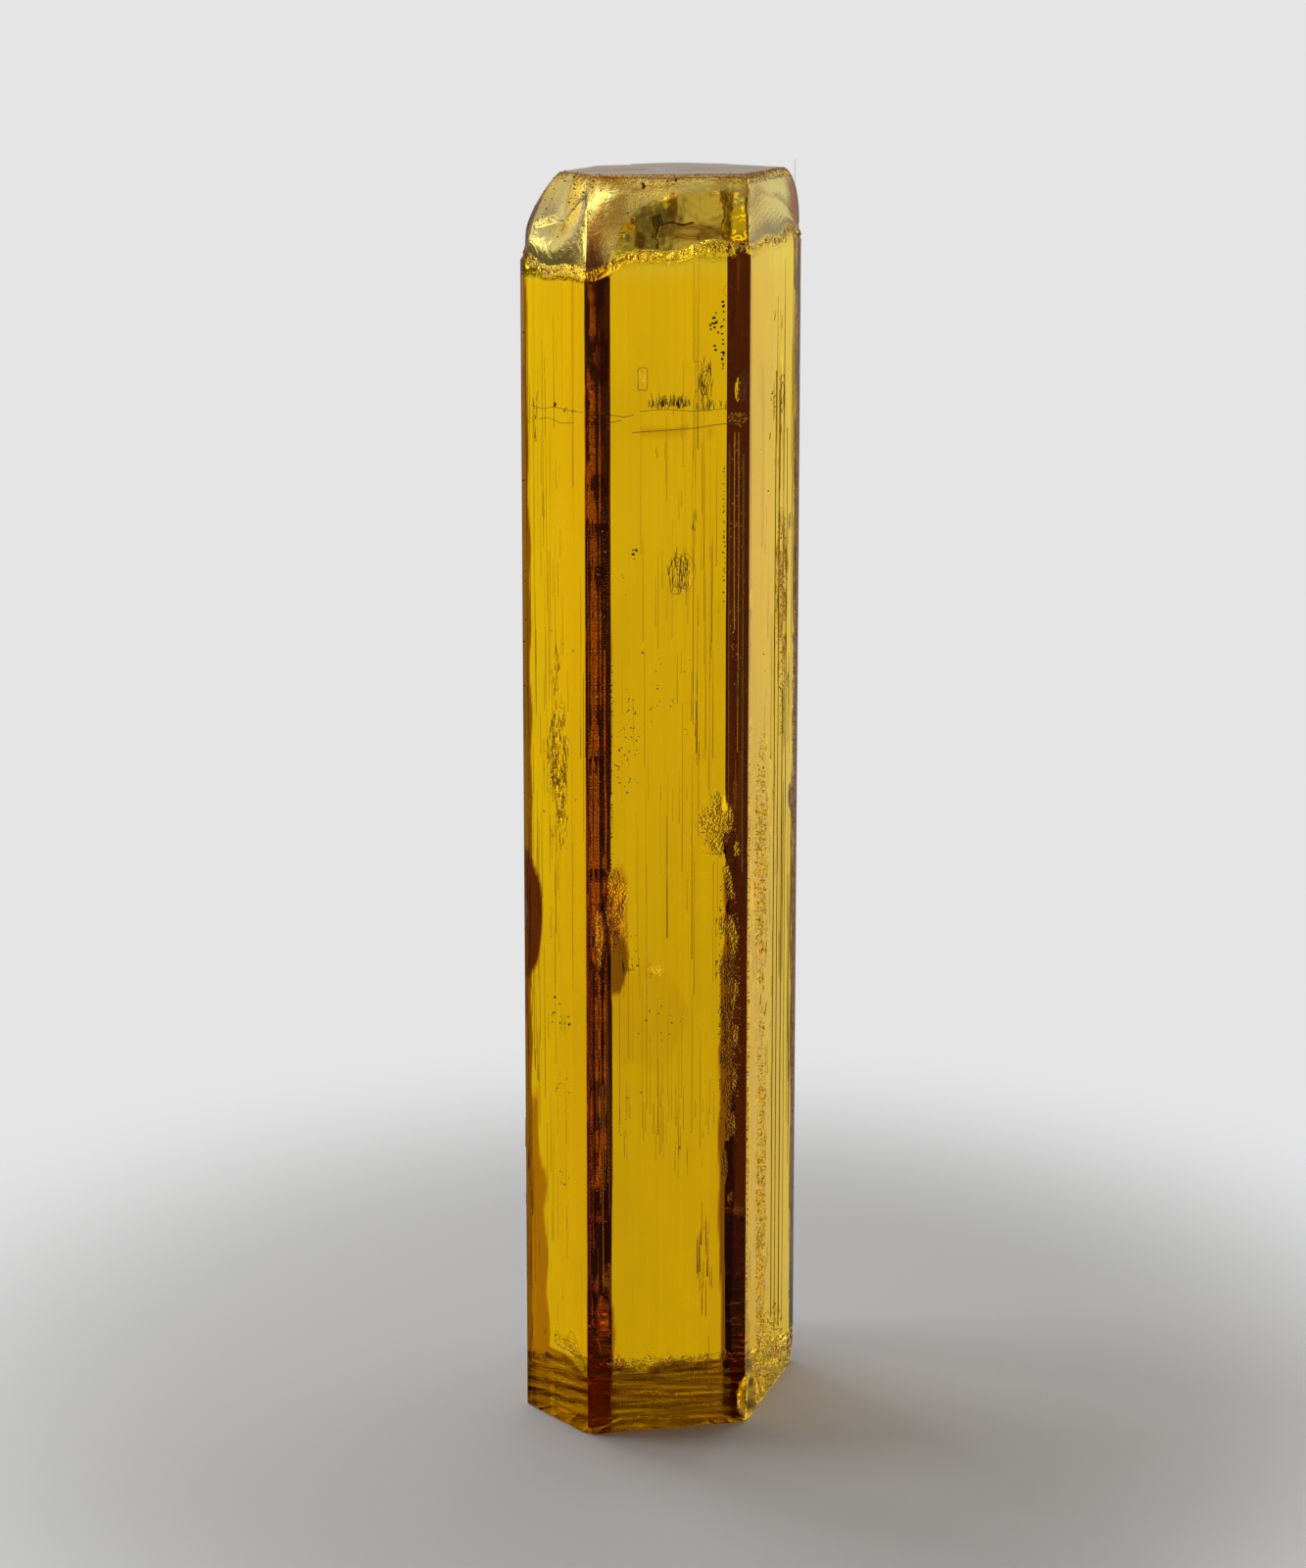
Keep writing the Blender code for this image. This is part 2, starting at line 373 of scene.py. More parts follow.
def ridgeRelief(side, run, heights):
    rng = np.random.default_rng(ridges["seed"])
    sideSoftness, endSoftness = ridges["softness"]
    relief = 0 * heights
    for index, length in enumerate(sideLengths / mm):
        columns = side == index
        place = run[columns]
        for _ in range(ridges["counts"][index]):
            middle = rng.uniform(0, length)
            half = rng.uniform(*ridges["halfWidths"])
            centre = rng.uniform(*ridges["middles"])
            reach = rng.uniform(*ridges["lengths"]) / 2
            depth = ridges["depths"][index] * rng.uniform(*ridges["depthShares"])
            across = smooth((half - np.abs(place - middle)) / sideSoftness + 0.5)
            up = smooth((reach - np.abs(heights[:, columns] - centre)) / endSoftness + 0.5)
            relief[:, columns] += depth * across * up
    return relief


def spotShare(side, run, heights, spot, squareness=2):  # 0 in the middle of the spot, 1 at its edge
    index, place, height, halfWidth, halfHeight = spot[:5]
    reach = (np.abs((run - place) / halfWidth) ** squareness
             + np.abs((heights - height) / halfHeight) ** squareness) ** (1 / squareness)
    return np.where(side == index, reach, 9.0)  # far outside on the other sides


def sideRipple(name, side, run, heights):
    seed, *sizes = sideRipples[name]
    return ripple(seed, (run + 40 * side, heights), sizes)


def sideRelief(side, along, heights, capShare):  # mm inwards, and how rough each place is
    run = along * sideLengths[side] / mm
    left = sideLengths[side] / mm - run
    body = (1 - capShare) * smooth(np.minimum(run, left) / softness["side"])
    inset = ridgeRelief(side, run, heights) * body
    rough = 0 * heights
    for *spot, depth, squareness in etchPits.values():
        share = smooth((1 - spotShare(side, run, heights, spot, squareness)) / softness["pit"])
        inset += depth * share * body
        rough = np.maximum(rough, pitRoughness * share * body)
    grain = sideRipple("patchGrain", side, run, heights)
    edge = sideRipple("patchEdge", side, run, heights)
    even, grainy = patchEvenness
    for *spot, depth, raggedness, strength in roughPatches.values():
        reach = spotShare(side, run, heights, spot) - raggedness * edge
        share = smooth((1 - reach) / softness["patch"])
        inset += depth * share * (even + grainy * grain) * body
        rough = np.maximum(rough, strength * share * (1 - capShare))
    bevel = crystal["leftEdgeBevel"]
    width = bevel["footWidth"] + (bevel["topWidth"] - bevel["footWidth"]) * heights / bevel["top"]
    inset += np.where(side == 0, bevel["depth"] * np.clip(1 - run / width, 0, 1), 0)
    inset += np.where(side == 5, bevel["depth"] * np.clip(1 - left / bevel["backWidth"], 0, 1), 0)
    return inset, rough


# how much each place is darkened: by real stains and rust, and by painted shade (the foot band, the dark
# strips and the shade spots)
def stainAndShadeShare(side, along, heights):
    run = along * sideLengths[side] / mm
    foot = footShade["top"] + footShade["wander"] * sideRipple("footEdge", side, run, 0 * heights)
    streaks = footShade["streaks"] * sideRipple("footStreaks", side, run, heights)
    away = np.abs(heights - foot + footShade["rimDrop"])
    rim = footShade["rim"] * smooth(1 - away / footShade["rimWidth"])
    band = (footShade["share"] + rim + streaks) * smooth((foot - heights) / footShade["softness"])
    share = np.where(side <= 1, band, 0)
    edge = 1.04 + stainAndShadeRaggedness * sideRipple("stainAndShadeEdge", side, run, heights)
    for *spot, amount in stainsAndShade.values():
        inside = smooth((edge - spotShare(side, run, heights, spot)) / softness["stainAndShade"])
        share = np.maximum(share, amount * inside)
    return share


def knockChips(points, broken):
    for corner, middle, halfWidth, halfHeight, outside in chips.values():
        outward = corners[corner] / np.linalg.norm(corners[corner])
        centre = np.array((*(corners[corner] + outward * halfWidth * outside * mm), middle * mm))
        half = np.array((halfWidth, halfWidth, halfHeight)) * mm
        place = (points - centre) / half
        way = np.array((-outward[0], -outward[1], 0))
        inward = way / (halfWidth * mm)
        a = inward @ inward
        b = place @ inward
        c = (place ** 2).sum(axis=-1) - 1
        root = np.sqrt(np.maximum(b * b - a * c, 0))
        shove = np.where(c < 0, (root - b) / a, 0)
        away = np.linalg.norm(place - shellWaves["middle"], axis=-1)
        shell = shellWaves["height"] * mm * np.cos(away * shellWaves["count"]) * (shove > 0)
        points += (shove + shell * smooth(shove / (0.2 * mm)))[..., None] * way
        broken[...] = np.maximum(broken, smooth(shove / (0.1 * mm)))
    return points, broken


def ledgeRoughness(count):  # how rough each ring is where the cap steps in
    middle = len(bodyShares()) + crystal["ledgeRows"] / 2 - 0.5
    away = np.abs(np.arange(count) - middle) / crystal["ledgeRows"]
    return crystal["ledgeRoughness"] * smooth(1.2 - 1.6 * away)


def footRings(foot):  # from the middle of the break out to the crystal's edge
    rings = []
    middle, swing, most = crystal["footLevels"]
    for t in np.arange(1, crystal["footRows"]) / crystal["footRows"]:
        ring = foot * np.array((t, t, 1))
        steps = layeredRipple(crystal["footSteps"], ring[:, :2].T)
        lift = crystal["footRelief"] * mm * np.clip(middle + swing * steps, 0, most)
        ring[:, 2] = lift * (1 - t ** 6) + foot[:, 2] * t ** 6
        rings.append(ring)
    return rings


def topRings(rim):
    rings = []
    for t in np.arange(1, crystal["topRows"]) / crystal["topRows"]:
        ring = rim * np.array((1 - t, 1 - t, 1))
        step = np.sign(layeredRipple(crystal["topStepRipple"], ring[:, :2].T)) - 1
        ring[:, 2] += crystal["topSteps"] * mm * step * smooth(t * 6)
        rings.append(ring)
    return rings


def gridMesh(name, points, colours, stainAndShade):  # rings of points from the foot's middle to the top's middle
    rows, columns = points.shape[:2]
    foot = np.append(points[0, :, :2].mean(axis=0), points[0, :, 2].mean())
    top = np.append(points[-1, :, :2].mean(axis=0), points[-1, :, 2].mean())
    places = np.concatenate((foot[None], points.reshape(-1, 3), top[None]))
    shades = np.concatenate((colours[0, :1], colours.reshape(-1, 4), colours[-1, :1]))
    stainAndShadeValues = np.concatenate(((0,), stainAndShade.ravel(), (0,)))
    here = np.arange(columns)
    beside = (here + 1) % columns
    low = 1 + np.arange(rows - 1)[:, None] * columns
    quads = np.stack((low + here, low + beside, low + columns + beside, low + columns + here), axis=-1)
    last = 1 + (rows - 1) * columns
    faces = quads.reshape(-1, 4).tolist()
    faces += [(0, 1 + b, 1 + h) for h, b in zip(here, beside)]
    faces += [(last + h, last + b, len(places) - 1) for h, b in zip(here, beside)]
    mesh = bpy.data.meshes.new(name)
    mesh.from_pydata(places.tolist(), [], faces)
    zones = mesh.attributes.new("zones", "FLOAT_COLOR", "POINT")
    zones.data.foreach_set("color", shades.astype(np.float32).ravel())
    # the stain share holds real stains and rust, and painted shade as well
    mesh.attributes.new("stainAndShade", "FLOAT", "POINT").data.foreach_set("value", stainAndShadeValues.astype(np.float32))
    mesh.shade_smooth()
    mesh.set_sharp_from_angle(angle=crystal["sharpAngle"])
    return mesh


def zoneColours(side, along, heights, capShare, rough, broken):  # cap, rough, broken and frosted shares
    ledgeRough = ledgeRoughness(len(heights))[:, None]
    golden, goldenRise = crystal["goldenWall"]
    golden = np.where(side == 3, smooth((golden + goldenRise * along - heights) / 0.6), 0)
    pale, paleStart, paleReach = crystal["paleBack"]
    paleBack = pale * smooth((heights - paleStart) / paleReach) * (side >= 4)
    arch = np.interp(along * sideLengths[side] / mm, crystal["archRuns"], crystal["archHeights"])
    outside = np.where(side == 1, smooth((heights - arch) / 0.3 + 0.5), 0)
    inside = crystal["archTint"]
    cap = np.maximum(capShare * (1 - golden), paleBack)
    cap = cap * np.where(side == 1, inside + (1 - inside) * outside, 1) * (1 - ledgeRough)
    frost = capShare * np.maximum(np.array(crystal["capFrost"])[side], outside)
    return np.stack((cap, np.maximum(rough, ledgeRough), broken, frost), axis=-1)


def makeCrystal():
    side, along = layColumns()
    foot = onSide(side, along, 0.0 * along, 0.0 * along)
    heights, insets, capShare = sideProfile(side, along, foot[:, :2])
    relief, rough = sideRelief(side, along, heights, capShare)
    insets += relief
    middle = onSide(side, along, insets * mm, heights * mm)
    insets += capShare * layeredRipple(crystal["capGrain"], np.moveaxis(middle, -1, 0))
    points = onSide(side, along, insets * mm, heights * mm)
    broken = smooth((0.5 - heights) / 0.5)
    points, broken = knockChips(points, broken)
    notch = np.clip(layeredRipple(crystal["notchRipple"], foot[:, :2].T) - crystal["notchFrom"], 0, 1)
    points[:, :, 2] += crystal["footNotches"] * mm * notch * smooth((2.0 - heights) / 2.0)
    under = footRings(points[0])
    above = topRings(points[-1])
    everything = np.concatenate((np.array(under), points, np.array(above)))
    body = slice(len(under), len(under) + len(points))
    zones = np.zeros(everything.shape[:2] + (4,))
    zones[body] = zoneColours(side, along, heights, capShare, rough, broken)
    zones[:body.start, :, 2] = 1
    zones[body.stop:, :, 0] = 1
    stainAndShade = np.zeros(everything.shape[:2])
    stainAndShade[body] = stainAndShadeShare(side, along, heights)
    mesh = gridMesh("heliodor", everything, zones, stainAndShade)
    piece = bpy.data.objects.new("heliodor", mesh)
    bpy.context.collection.objects.link(piece)
    mesh.materials.append(berylMaterial())
    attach(piece, "root")
    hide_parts("heliodor_crystal")
    print("crystal:", len(mesh.polygons), "faces")
    return piece


def newMaterial(name):
    material = bpy.data.materials.new(name)
    material.use_nodes = True
    tree = material.node_tree
    return material, tree, tree.nodes["Principled BSDF"]


def addNode(tree, kind, settings=None, inputs=None):
    node = tree.nodes.new(kind)
    for key, value in (settings or {}).items():
        setattr(node, key, value)
    for key, value in (inputs or {}).items():
        if isinstance(value, bpy.types.NodeSocket):
            tree.links.new(value, node.inputs[key])
        else:
            node.inputs[key].default_value = value
    return node


def mathNode(tree, operation, *values, clamp=False):
    settings = {"operation": operation, "use_clamp": clamp}
    return addNode(tree, "ShaderNodeMath", settings, dict(enumerate(values))).outputs[0]


def rangeNode(tree, value, fromMin, fromMax, toMin=0.0, toMax=1.0):
    limits = {"From Min": fromMin, "From Max": fromMax, "To Min": toMin, "To Max": toMax}
    return addNode(tree, "ShaderNodeMapRange", inputs={"Value": value, **limits}).outputs[0]


def blendValues(tree, share, first, second):
    return addNode(tree, "ShaderNodeMix", inputs={"Factor": share, "A": first, "B": second}).outputs[0]


def blendColours(tree, share, first, second, how="MIX"):
    settings = {"data_type": "RGBA", "blend_type": how}
    return addNode(tree, "ShaderNodeMix", settings, {"Factor": share, 6: first, 7: second}).outputs[2]


def noiseNode(tree, place, scale, detail, roughness=0.5):  # a scale of three numbers stretches the noise
    if isinstance(scale, tuple):
        place = addNode(tree, "ShaderNodeMapping", inputs={"Vector": place, "Scale": scale}).outputs[0]
        scale = 1.0
    return addNode(tree, "ShaderNodeTexNoise", inputs={
        "Vector": place, "Scale": scale, "Detail": detail, "Roughness": roughness}).outputs["Fac"]


def bumpNode(tree, height, distance, strength=1.0, normal=None):
    bump = addNode(tree, "ShaderNodeBump", inputs={
        "Height": height, "Distance": distance, "Strength": strength})
    if normal:
        tree.links.new(normal, bump.inputs["Normal"])
    return bump.outputs[0]


beryl = {
    "index": 1.572,
    "absorbed": (3.6, 17.0, 40.0),  # red, green and blue taken up per metre
    "absorptionDensity": 200.0,
    "streakScale": (2600.0, 2600.0, 14.0),
    "streakHeight": 1.2e-6,
    "grainScale": 4600.0,
    "grainHeight": 36.0e-6,
    "frontPebbles": 0.30,
    "backPebbles": 0.50,  # added where the cap's back is frosted
    "brokenGrain": 0.4,
    "brokenWear": 0.5,
    "grooveScale": (180.0, 2400.0, 400.0),
    "grooveHeight": 60.0e-6,
    "crackleScale": 4600.0,
    "crackleHeight": 125.0e-6,
    "speckle": (0.40, 0.62, 0.1, 1.0),  # from and to in the grain's noise, and the roughness there
    "roughRoughness": 0.12,
    "capRoughness": 0.03,
    "frostRoughness": 0.16,
    "bodyTint": (0.96, 0.80, 0.004, 1.0),
    "capTint": (0.87, 0.95, 0.42, 1.0),
    "shadeRange": (0.32, 0.60),
    "streakTint": 0.93,
    "cloudScale": (260.0, 260.0, 90.0),
    "cloudTint": 0.92,
    "noiseDetail": 3.0,
    "noiseRoughness": 0.6,  # of the streaks, the grain and the grooves
    # dark blotches on the rough zones: partly their etched colour, partly painted shade of their relief
    "etchShadeScale": 1700.0,
    "etchShadeRange": (0.49, 0.58, 0.0, 0.9),
    "etchShadeTint": (0.22, 0.12, 0.01, 1.0),
    # tints for the stain share, which holds painted shade as well as stains
    "stainAndShadeTints": ((1, 1, 1, 1), (0.50, 0.22, 0.03, 1), (0.025, 0.002, 0.0002, 1)),
}


def berylRelief(tree, place, streaks, grain, cap, rough, broken, frost):
    relief = bumpNode(tree, streaks, beryl["streakHeight"], mathNode(tree, "SUBTRACT", 1.0, cap, clamp=True))
    pebbles = mathNode(tree, "MULTIPLY_ADD", frost, beryl["backPebbles"], beryl["frontPebbles"])
    pebbles = mathNode(tree, "MULTIPLY", cap, pebbles)
    grainShare = mathNode(tree, "MAXIMUM", pebbles, mathNode(tree, "MULTIPLY", broken, beryl["brokenGrain"]))
    relief = bumpNode(tree, grain, beryl["grainHeight"], grainShare, relief)
    grooves = noiseNode(tree, place, beryl["grooveScale"], beryl["noiseDetail"], beryl["noiseRoughness"])
    relief = bumpNode(tree, grooves, beryl["grooveHeight"], broken, relief)
    crackle = addNode(tree, "ShaderNodeTexVoronoi", {"feature": "F1"}, {
        "Vector": place, "Scale": beryl["crackleScale"]})
    return bumpNode(tree, crackle.outputs["Distance"], beryl["crackleHeight"], rough, relief)


def berylRoughness(tree, grain, cap, rough, broken, frost):
    worn = mathNode(tree, "MAXIMUM", rough, mathNode(tree, "MULTIPLY", broken, beryl["brokenWear"]))
    worn = mathNode(tree, "MULTIPLY", worn, rangeNode(tree, grain, *beryl["speckle"]))
    total = mathNode(tree, "MULTIPLY", worn, beryl["roughRoughness"])
    total = mathNode(tree, "MULTIPLY_ADD", cap, beryl["capRoughness"], total)
    return mathNode(tree, "MULTIPLY_ADD", frost, beryl["frostRoughness"], total)


def berylTint(tree, place, streaks, cap, rough):
    tint = blendColours(tree, cap, beryl["bodyTint"], beryl["capTint"])
    # the stain share darkens the tint, both for real stains and for painted shade
    stainAndShade = addNode(tree, "ShaderNodeAttribute", {"attribute_name": "stainAndShade"}).outputs["Fac"]
    ramp = addNode(tree, "ShaderNodeValToRGB", inputs={"Fac": stainAndShade})
    ramp.color_ramp.elements.new(0.5)
    for stop, colour in zip(ramp.color_ramp.elements, beryl["stainAndShadeTints"]):
        stop.color = colour
    tint = blendColours(tree, 1.0, tint, ramp.outputs["Color"], "MULTIPLY")
    clouds = noiseNode(tree, place, beryl["cloudScale"], beryl["noiseDetail"])
    streakShade = rangeNode(tree, streaks, *beryl["shadeRange"], beryl["streakTint"])
    cloudShade = rangeNode(tree, clouds, *beryl["shadeRange"], beryl["cloudTint"])
    tint = addNode(tree, "ShaderNodeVectorMath", {"operation": "SCALE"}, {
        0: tint, "Scale": mathNode(tree, "MULTIPLY", streakShade, cloudShade)}).outputs[0]
    # dark brown blotches on the rough zones: their etched colour and painted shade of their relief
    etchShade = noiseNode(tree, place, beryl["etchShadeScale"], beryl["noiseDetail"])
    etchShade = rangeNode(tree, etchShade, *beryl["etchShadeRange"])
    return blendColours(tree, mathNode(tree, "MULTIPLY", etchShade, rough), tint, beryl["etchShadeTint"], "MULTIPLY")


def berylMaterial():
    material, tree, shader = newMaterial("golden_beryl")
    place = addNode(tree, "ShaderNodeTexCoord").outputs["Object"]
    zones = addNode(tree, "ShaderNodeAttribute", {"attribute_name": "zones"}).outputs
    cap, rough, broken = addNode(tree, "ShaderNodeSeparateColor", inputs={"Color": zones["Color"]}).outputs
    frost = zones["Alpha"]
    streaks = noiseNode(tree, place, beryl["streakScale"], 2.0, beryl["noiseRoughness"])
    grain = noiseNode(tree, place, beryl["grainScale"], beryl["noiseDetail"], beryl["noiseRoughness"])
    tint = berylTint(tree, place, streaks, cap, rough)
    roughness = berylRoughness(tree, grain, cap, rough, broken, frost)
    relief = berylRelief(tree, place, streaks, grain, cap, rough, broken, frost)
    tree.links.new(tint, shader.inputs["Base Color"])
    tree.links.new(roughness, shader.inputs["Roughness"])
    tree.links.new(relief, shader.inputs["Normal"])
    shader.inputs["IOR"].default_value = beryl["index"]
    shader.inputs["Transmission Weight"].default_value = 1.0
    density = beryl["absorptionDensity"]
    absorption = addNode(tree, "ShaderNodeVolumeAbsorption", inputs={"Density": density})
    absorption.inputs["Color"].default_value = (*(1 - taken / density for taken in beryl["absorbed"]), 1)
    tree.links.new(absorption.outputs[0], tree.nodes["Material Output"].inputs["Volume"])
    return material


def startTree(name, sockets):
    tree = bpy.data.node_groups.new(name, "GeometryNodeTree")
    for socket, kind in sockets.items():
        tree.interface.new_socket(name=socket, in_out="INPUT", socket_type="NodeSocket" + kind)
    tree.interface.new_socket(name="Shape", in_out="OUTPUT", socket_type="NodeSocketGeometry")
    return tree, addNode(tree, "NodeGroupInput").outputs


def endTree(tree, shape, finish):  # plain mesh with its material
    real = addNode(tree, "GeometryNodeRealizeInstances", inputs={"Geometry": shape})
    finished = addNode(tree, "GeometryNodeSetMaterial", inputs={
        "Geometry": real.outputs[0], "Material": finish})
    tree.links.new(finished.outputs[0], addNode(tree, "NodeGroupOutput").inputs["Shape"])
    return tree


def grainTree():  # a small stone or needle on every point, its size and turn drawn from a seed
    tree, given = startTree("grains", {
        "Points": "Geometry", "Smallest": "Float", "Largest": "Float", "Shortest": "Float",
        "Longest": "Float", "Tumble": "Float", "Needle": "Bool", "Seed": "Int", "Finish": "Material"})
    seed = given["Seed"]
    size = addNode(tree, "FunctionNodeRandomValue", inputs={
        2: given["Smallest"], 3: given["Largest"], "Seed": seed}).outputs[1]
    stretch = addNode(tree, "FunctionNodeRandomValue", inputs={
        2: given["Shortest"], 3: given["Longest"], "Seed": mathNode(tree, "ADD", seed, 1.0)}).outputs[1]
    scale = addNode(tree, "ShaderNodeCombineXYZ", inputs={
        0: size, 1: size, 2: mathNode(tree, "MULTIPLY", size, stretch)})
    turn = addNode(tree, "FunctionNodeRandomValue", {"data_type": "FLOAT_VECTOR"}, {
        0: mathNode(tree, "MULTIPLY", given["Tumble"], -1.0), 1: given["Tumble"],
        "Seed": mathNode(tree, "ADD", seed, 2.0)}).outputs[0]
    stone = addNode(tree, "GeometryNodeMeshIcoSphere", inputs={"Radius": 0.5, "Subdivisions": 1})
    needle = addNode(tree, "GeometryNodeMeshCone", inputs={
        "Vertices": 5, "Radius Top": 0.25, "Radius Bottom": 0.5, "Depth": 1.0})
    pick = addNode(tree, "GeometryNodeSwitch", {"input_type": "GEOMETRY"}, {
        "Switch": given["Needle"], "False": stone.outputs["Mesh"], "True": needle.outputs["Mesh"]})
    placed = addNode(tree, "GeometryNodeInstanceOnPoints", inputs={
        "Points": given["Points"], "Instance": pick.outputs[0], "Rotation": turn, "Scale": scale.outputs[0]})
    return endTree(tree, placed.outputs[0], given["Finish"])


def strandTree():  # a thin round strand along every line of edges
    tree, given = startTree("strands", {"Lines": "Geometry", "Thickness": "Float", "Finish": "Material"})
    line = addNode(tree, "GeometryNodeMeshToCurve", inputs={"Mesh": given["Lines"]})
    ring = addNode(tree, "GeometryNodeCurvePrimitiveCircle", inputs={
        "Resolution": 5, "Radius": mathNode(tree, "MULTIPLY", given["Thickness"], 0.5)})
    tube = addNode(tree, "GeometryNodeCurveToMesh", inputs={
        "Curve": line.outputs[0], "Profile Curve": ring.outputs[0], "Fill Caps": True})
    return endTree(tree, tube.outputs[0], given["Finish"])


def growFromTree(tree, points, edges, values):
    mesh = bpy.data.meshes.new(tree.name)
    mesh.from_pydata([tuple(point) for point in points], edges, [])
    holder = bpy.data.objects.new(tree.name, mesh)
    bpy.context.collection.objects.link(holder)
    modifier = holder.modifiers.new(tree.name, "NODES")
    modifier.node_group = tree
    for socket in tree.interface.items_tree:
        if socket.in_out == "INPUT" and socket.name in values:
            modifier[socket.identifier] = values[socket.name]
    depsgraph = bpy.context.evaluated_depsgraph_get()
    grown = bpy.data.meshes.new_from_object(holder.evaluated_get(depsgraph), depsgraph=depsgraph)
    bpy.data.objects.remove(holder)
    bpy.data.meshes.remove(mesh)
    return grown


def joinPiece(name, parts, material):
    whole = bmesh.new()
    for part in parts:
        whole.from_mesh(part)
        bpy.data.meshes.remove(part)
    mesh = bpy.data.meshes.new(name)
    whole.to_mesh(mesh)
    whole.free()
    mesh.materials.clear()
    mesh.materials.append(material)
    piece = bpy.data.objects.new(name, mesh)
    bpy.context.collection.objects.link(piece)
    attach(piece, "root")
    print(name + ":", len(mesh.polygons), "faces")
    return piece


stoneGrain = {"scale": 2500.0, "detail": 2.0, "height": 30.0e-6}


def stoneMaterial(name, dark, light, roughness, clear=0.0):
    material, tree, shader = newMaterial(name)
    place = addNode(tree, "ShaderNodeTexCoord").outputs["Object"]
    noise = noiseNode(tree, place, stoneGrain["scale"], stoneGrain["detail"])
    tree.links.new(blendColours(tree, noise, (*dark, 1), (*light, 1)), shader.inputs["Base Color"])
    tree.links.new(bumpNode(tree, noise, stoneGrain["height"]), shader.inputs["Normal"])
    shader.inputs["Roughness"].default_value = roughness
    shader.inputs["Transmission Weight"].default_value = clear
    return material


stones = {  # dark and light colour, roughness, how see-through
    "dark_mineral": ((0.012, 0.008, 0.003), (0.05, 0.03, 0.01), 0.5),
    "brown_tube": ((0.30, 0.15, 0.01), (0.62, 0.36, 0.02), 0.3, 0.7),
    "dark_glass": ((0.08, 0.05, 0.006), (0.24, 0.15, 0.02), 0.2, 0.6),
    "red_tube": ((0.62, 0.10, 0.01), (0.85, 0.26, 0.02), 0.3, 0.7),
    "amber_line": ((0.34, 0.19, 0.02), (0.66, 0.42, 0.06), 0.4, 0.35),
    "rust": ((0.42, 0.18, 0.02), (0.85, 0.50, 0.12), 0.6),
    "gold_grain": ((0.60, 0.34, 0.02), (0.98, 0.80, 0.20), 0.22, 0.85),
    # the pale flakes below are painted highlights
    "glint_flake": ((0.95, 0.70, 0.04), (1.0, 0.92, 0.25), 0.25, 0.35),
}

# each field: side, place along it, height, half width, half height (mm), count
darkGrains = {
    "seed": 1,
    "sizes": (0.13, 0.32),
    "stretch": (0.8, 1.6),
    "fields": {
        "besideStripTop": (1, 12.7, 110.6, 0.45, 1.9, 12),
        "stripEdgeTop": (1, 13.5, 110.4, 0.16, 3.4, 18),
        "capMiddle": (1, 5.8, 124.0, 0.6, 0.25, 3),
        "capMiddleRight": (1, 8.6, 124.4, 0.6, 0.2, 3),
        "leftScatter": (0, 5.0, 43.5, 2.8, 1.8, 5),
        "flower": (1, 4.85, 89.4, 0.4, 0.8, 5),
        "veilLeft": (0, 5.6, 103.6, 0.5, 0.3, 5),
    },
}

darkSpecks = {
    "seed": 13,
    "sizes": (0.06, 0.19),
    "stretch": (0.8, 1.8),
    "fields": {
        "stripEdgeHigh": (1, 13.7, 92.0, 0.10, 8.0, 40),
        "stripEdgeLow": (1, 13.5, 44.0, 0.14, 14.0, 60),
        "leftStripEdge": (1, 2.45, 70.0, 0.14, 16.0, 80),
        "leftStripDots": (1, 2.6, 76.0, 0.18, 3.0, 16),
        "scatter": (1, 4.1, 69.8, 1.5, 3.4, 46),
        "scatterHigh": (1, 4.5, 74.0, 0.5, 2.2, 14),
        "flowerLow": (1, 3.7, 86.6, 0.5, 1.4, 6),
        "middleDots": (1, 7.0, 77.5, 0.6, 3.2, 10),
        "wideDots": (1, 8.0, 76.0, 5.2, 5.0, 14),
        "lowScatter": (1, 7.5, 42.5, 2.6, 2.6, 14),
        "lowDots": (1, 7.0, 33.0, 4.0, 5.0, 10),
        "besideChip": (1, 4.7, 50.6, 0.8, 2.4, 12),
        "veilRight": (0, 7.4, 103.2, 1.2, 0.25, 9),
        "veilStart": (1, 0.9, 103.0, 0.7, 0.5, 5),
        "leftScatterFine": (0, 5.0, 43.5, 2.8, 1.8, 16),
        "leftLow": (0, 6.5, 35.5, 1.4, 2.4, 12),
        "leftLower": (0, 6.4, 26.5, 1.0, 0.8, 6),
        "leftHigh": (0, 6.6, 81.0, 2.4, 1.4, 5),
        "leftMiddle": (0, 6.0, 66.0, 3.0, 6.0, 16),
        "leftEdge": (0, 0.6, 90.0, 0.3, 24.0, 12),
        "rightFace": (2, 6.0, 95.0, 4.0, 20.0, 8),
    },
}

growthTubes = {
    "seed": 2,
    "sizes": (0.030, 0.065),
    "stretch": (90, 420),
    "tumble": 0.001,
    "fields": {
        "leftFace": (0, 4.6, 84.0, 2.2, 24.0, 14),
        "leftFaceLow": (0, 4.0, 34.0, 1.8, 26.0, 14),
        "leftEdge": (0, 1.3, 58.0, 1.2, 52.0, 34),
        "front": (1, 8.6, 76.0, 3.2, 26.0, 12),
        "frontRight": (1, 11.2, 84.0, 1.6, 16.0, 20),
        "frontLow": (1, 8.0, 32.0, 5.0, 4.0, 12),
        "leftStrip": (1, 1.8, 24.0, 0.9, 18.0, 10),
        "rightFace": (2, 9.0, 80.0, 3.0, 26.0, 10),
        "rightLines": (2, 11.6, 66.0, 0.9, 40.0, 12),
        "rightEdge": (2, 14.6, 60.0, 1.4, 50.0, 44),
        "backLeft": (5, 9.0, 62.0, 9.0, 46.0, 40),
        "back": (4, 6.0, 60.0, 6.0, 46.0, 26),
        "backRight": (3, 7.0, 60.0, 6.5, 46.0, 34),
    },
}

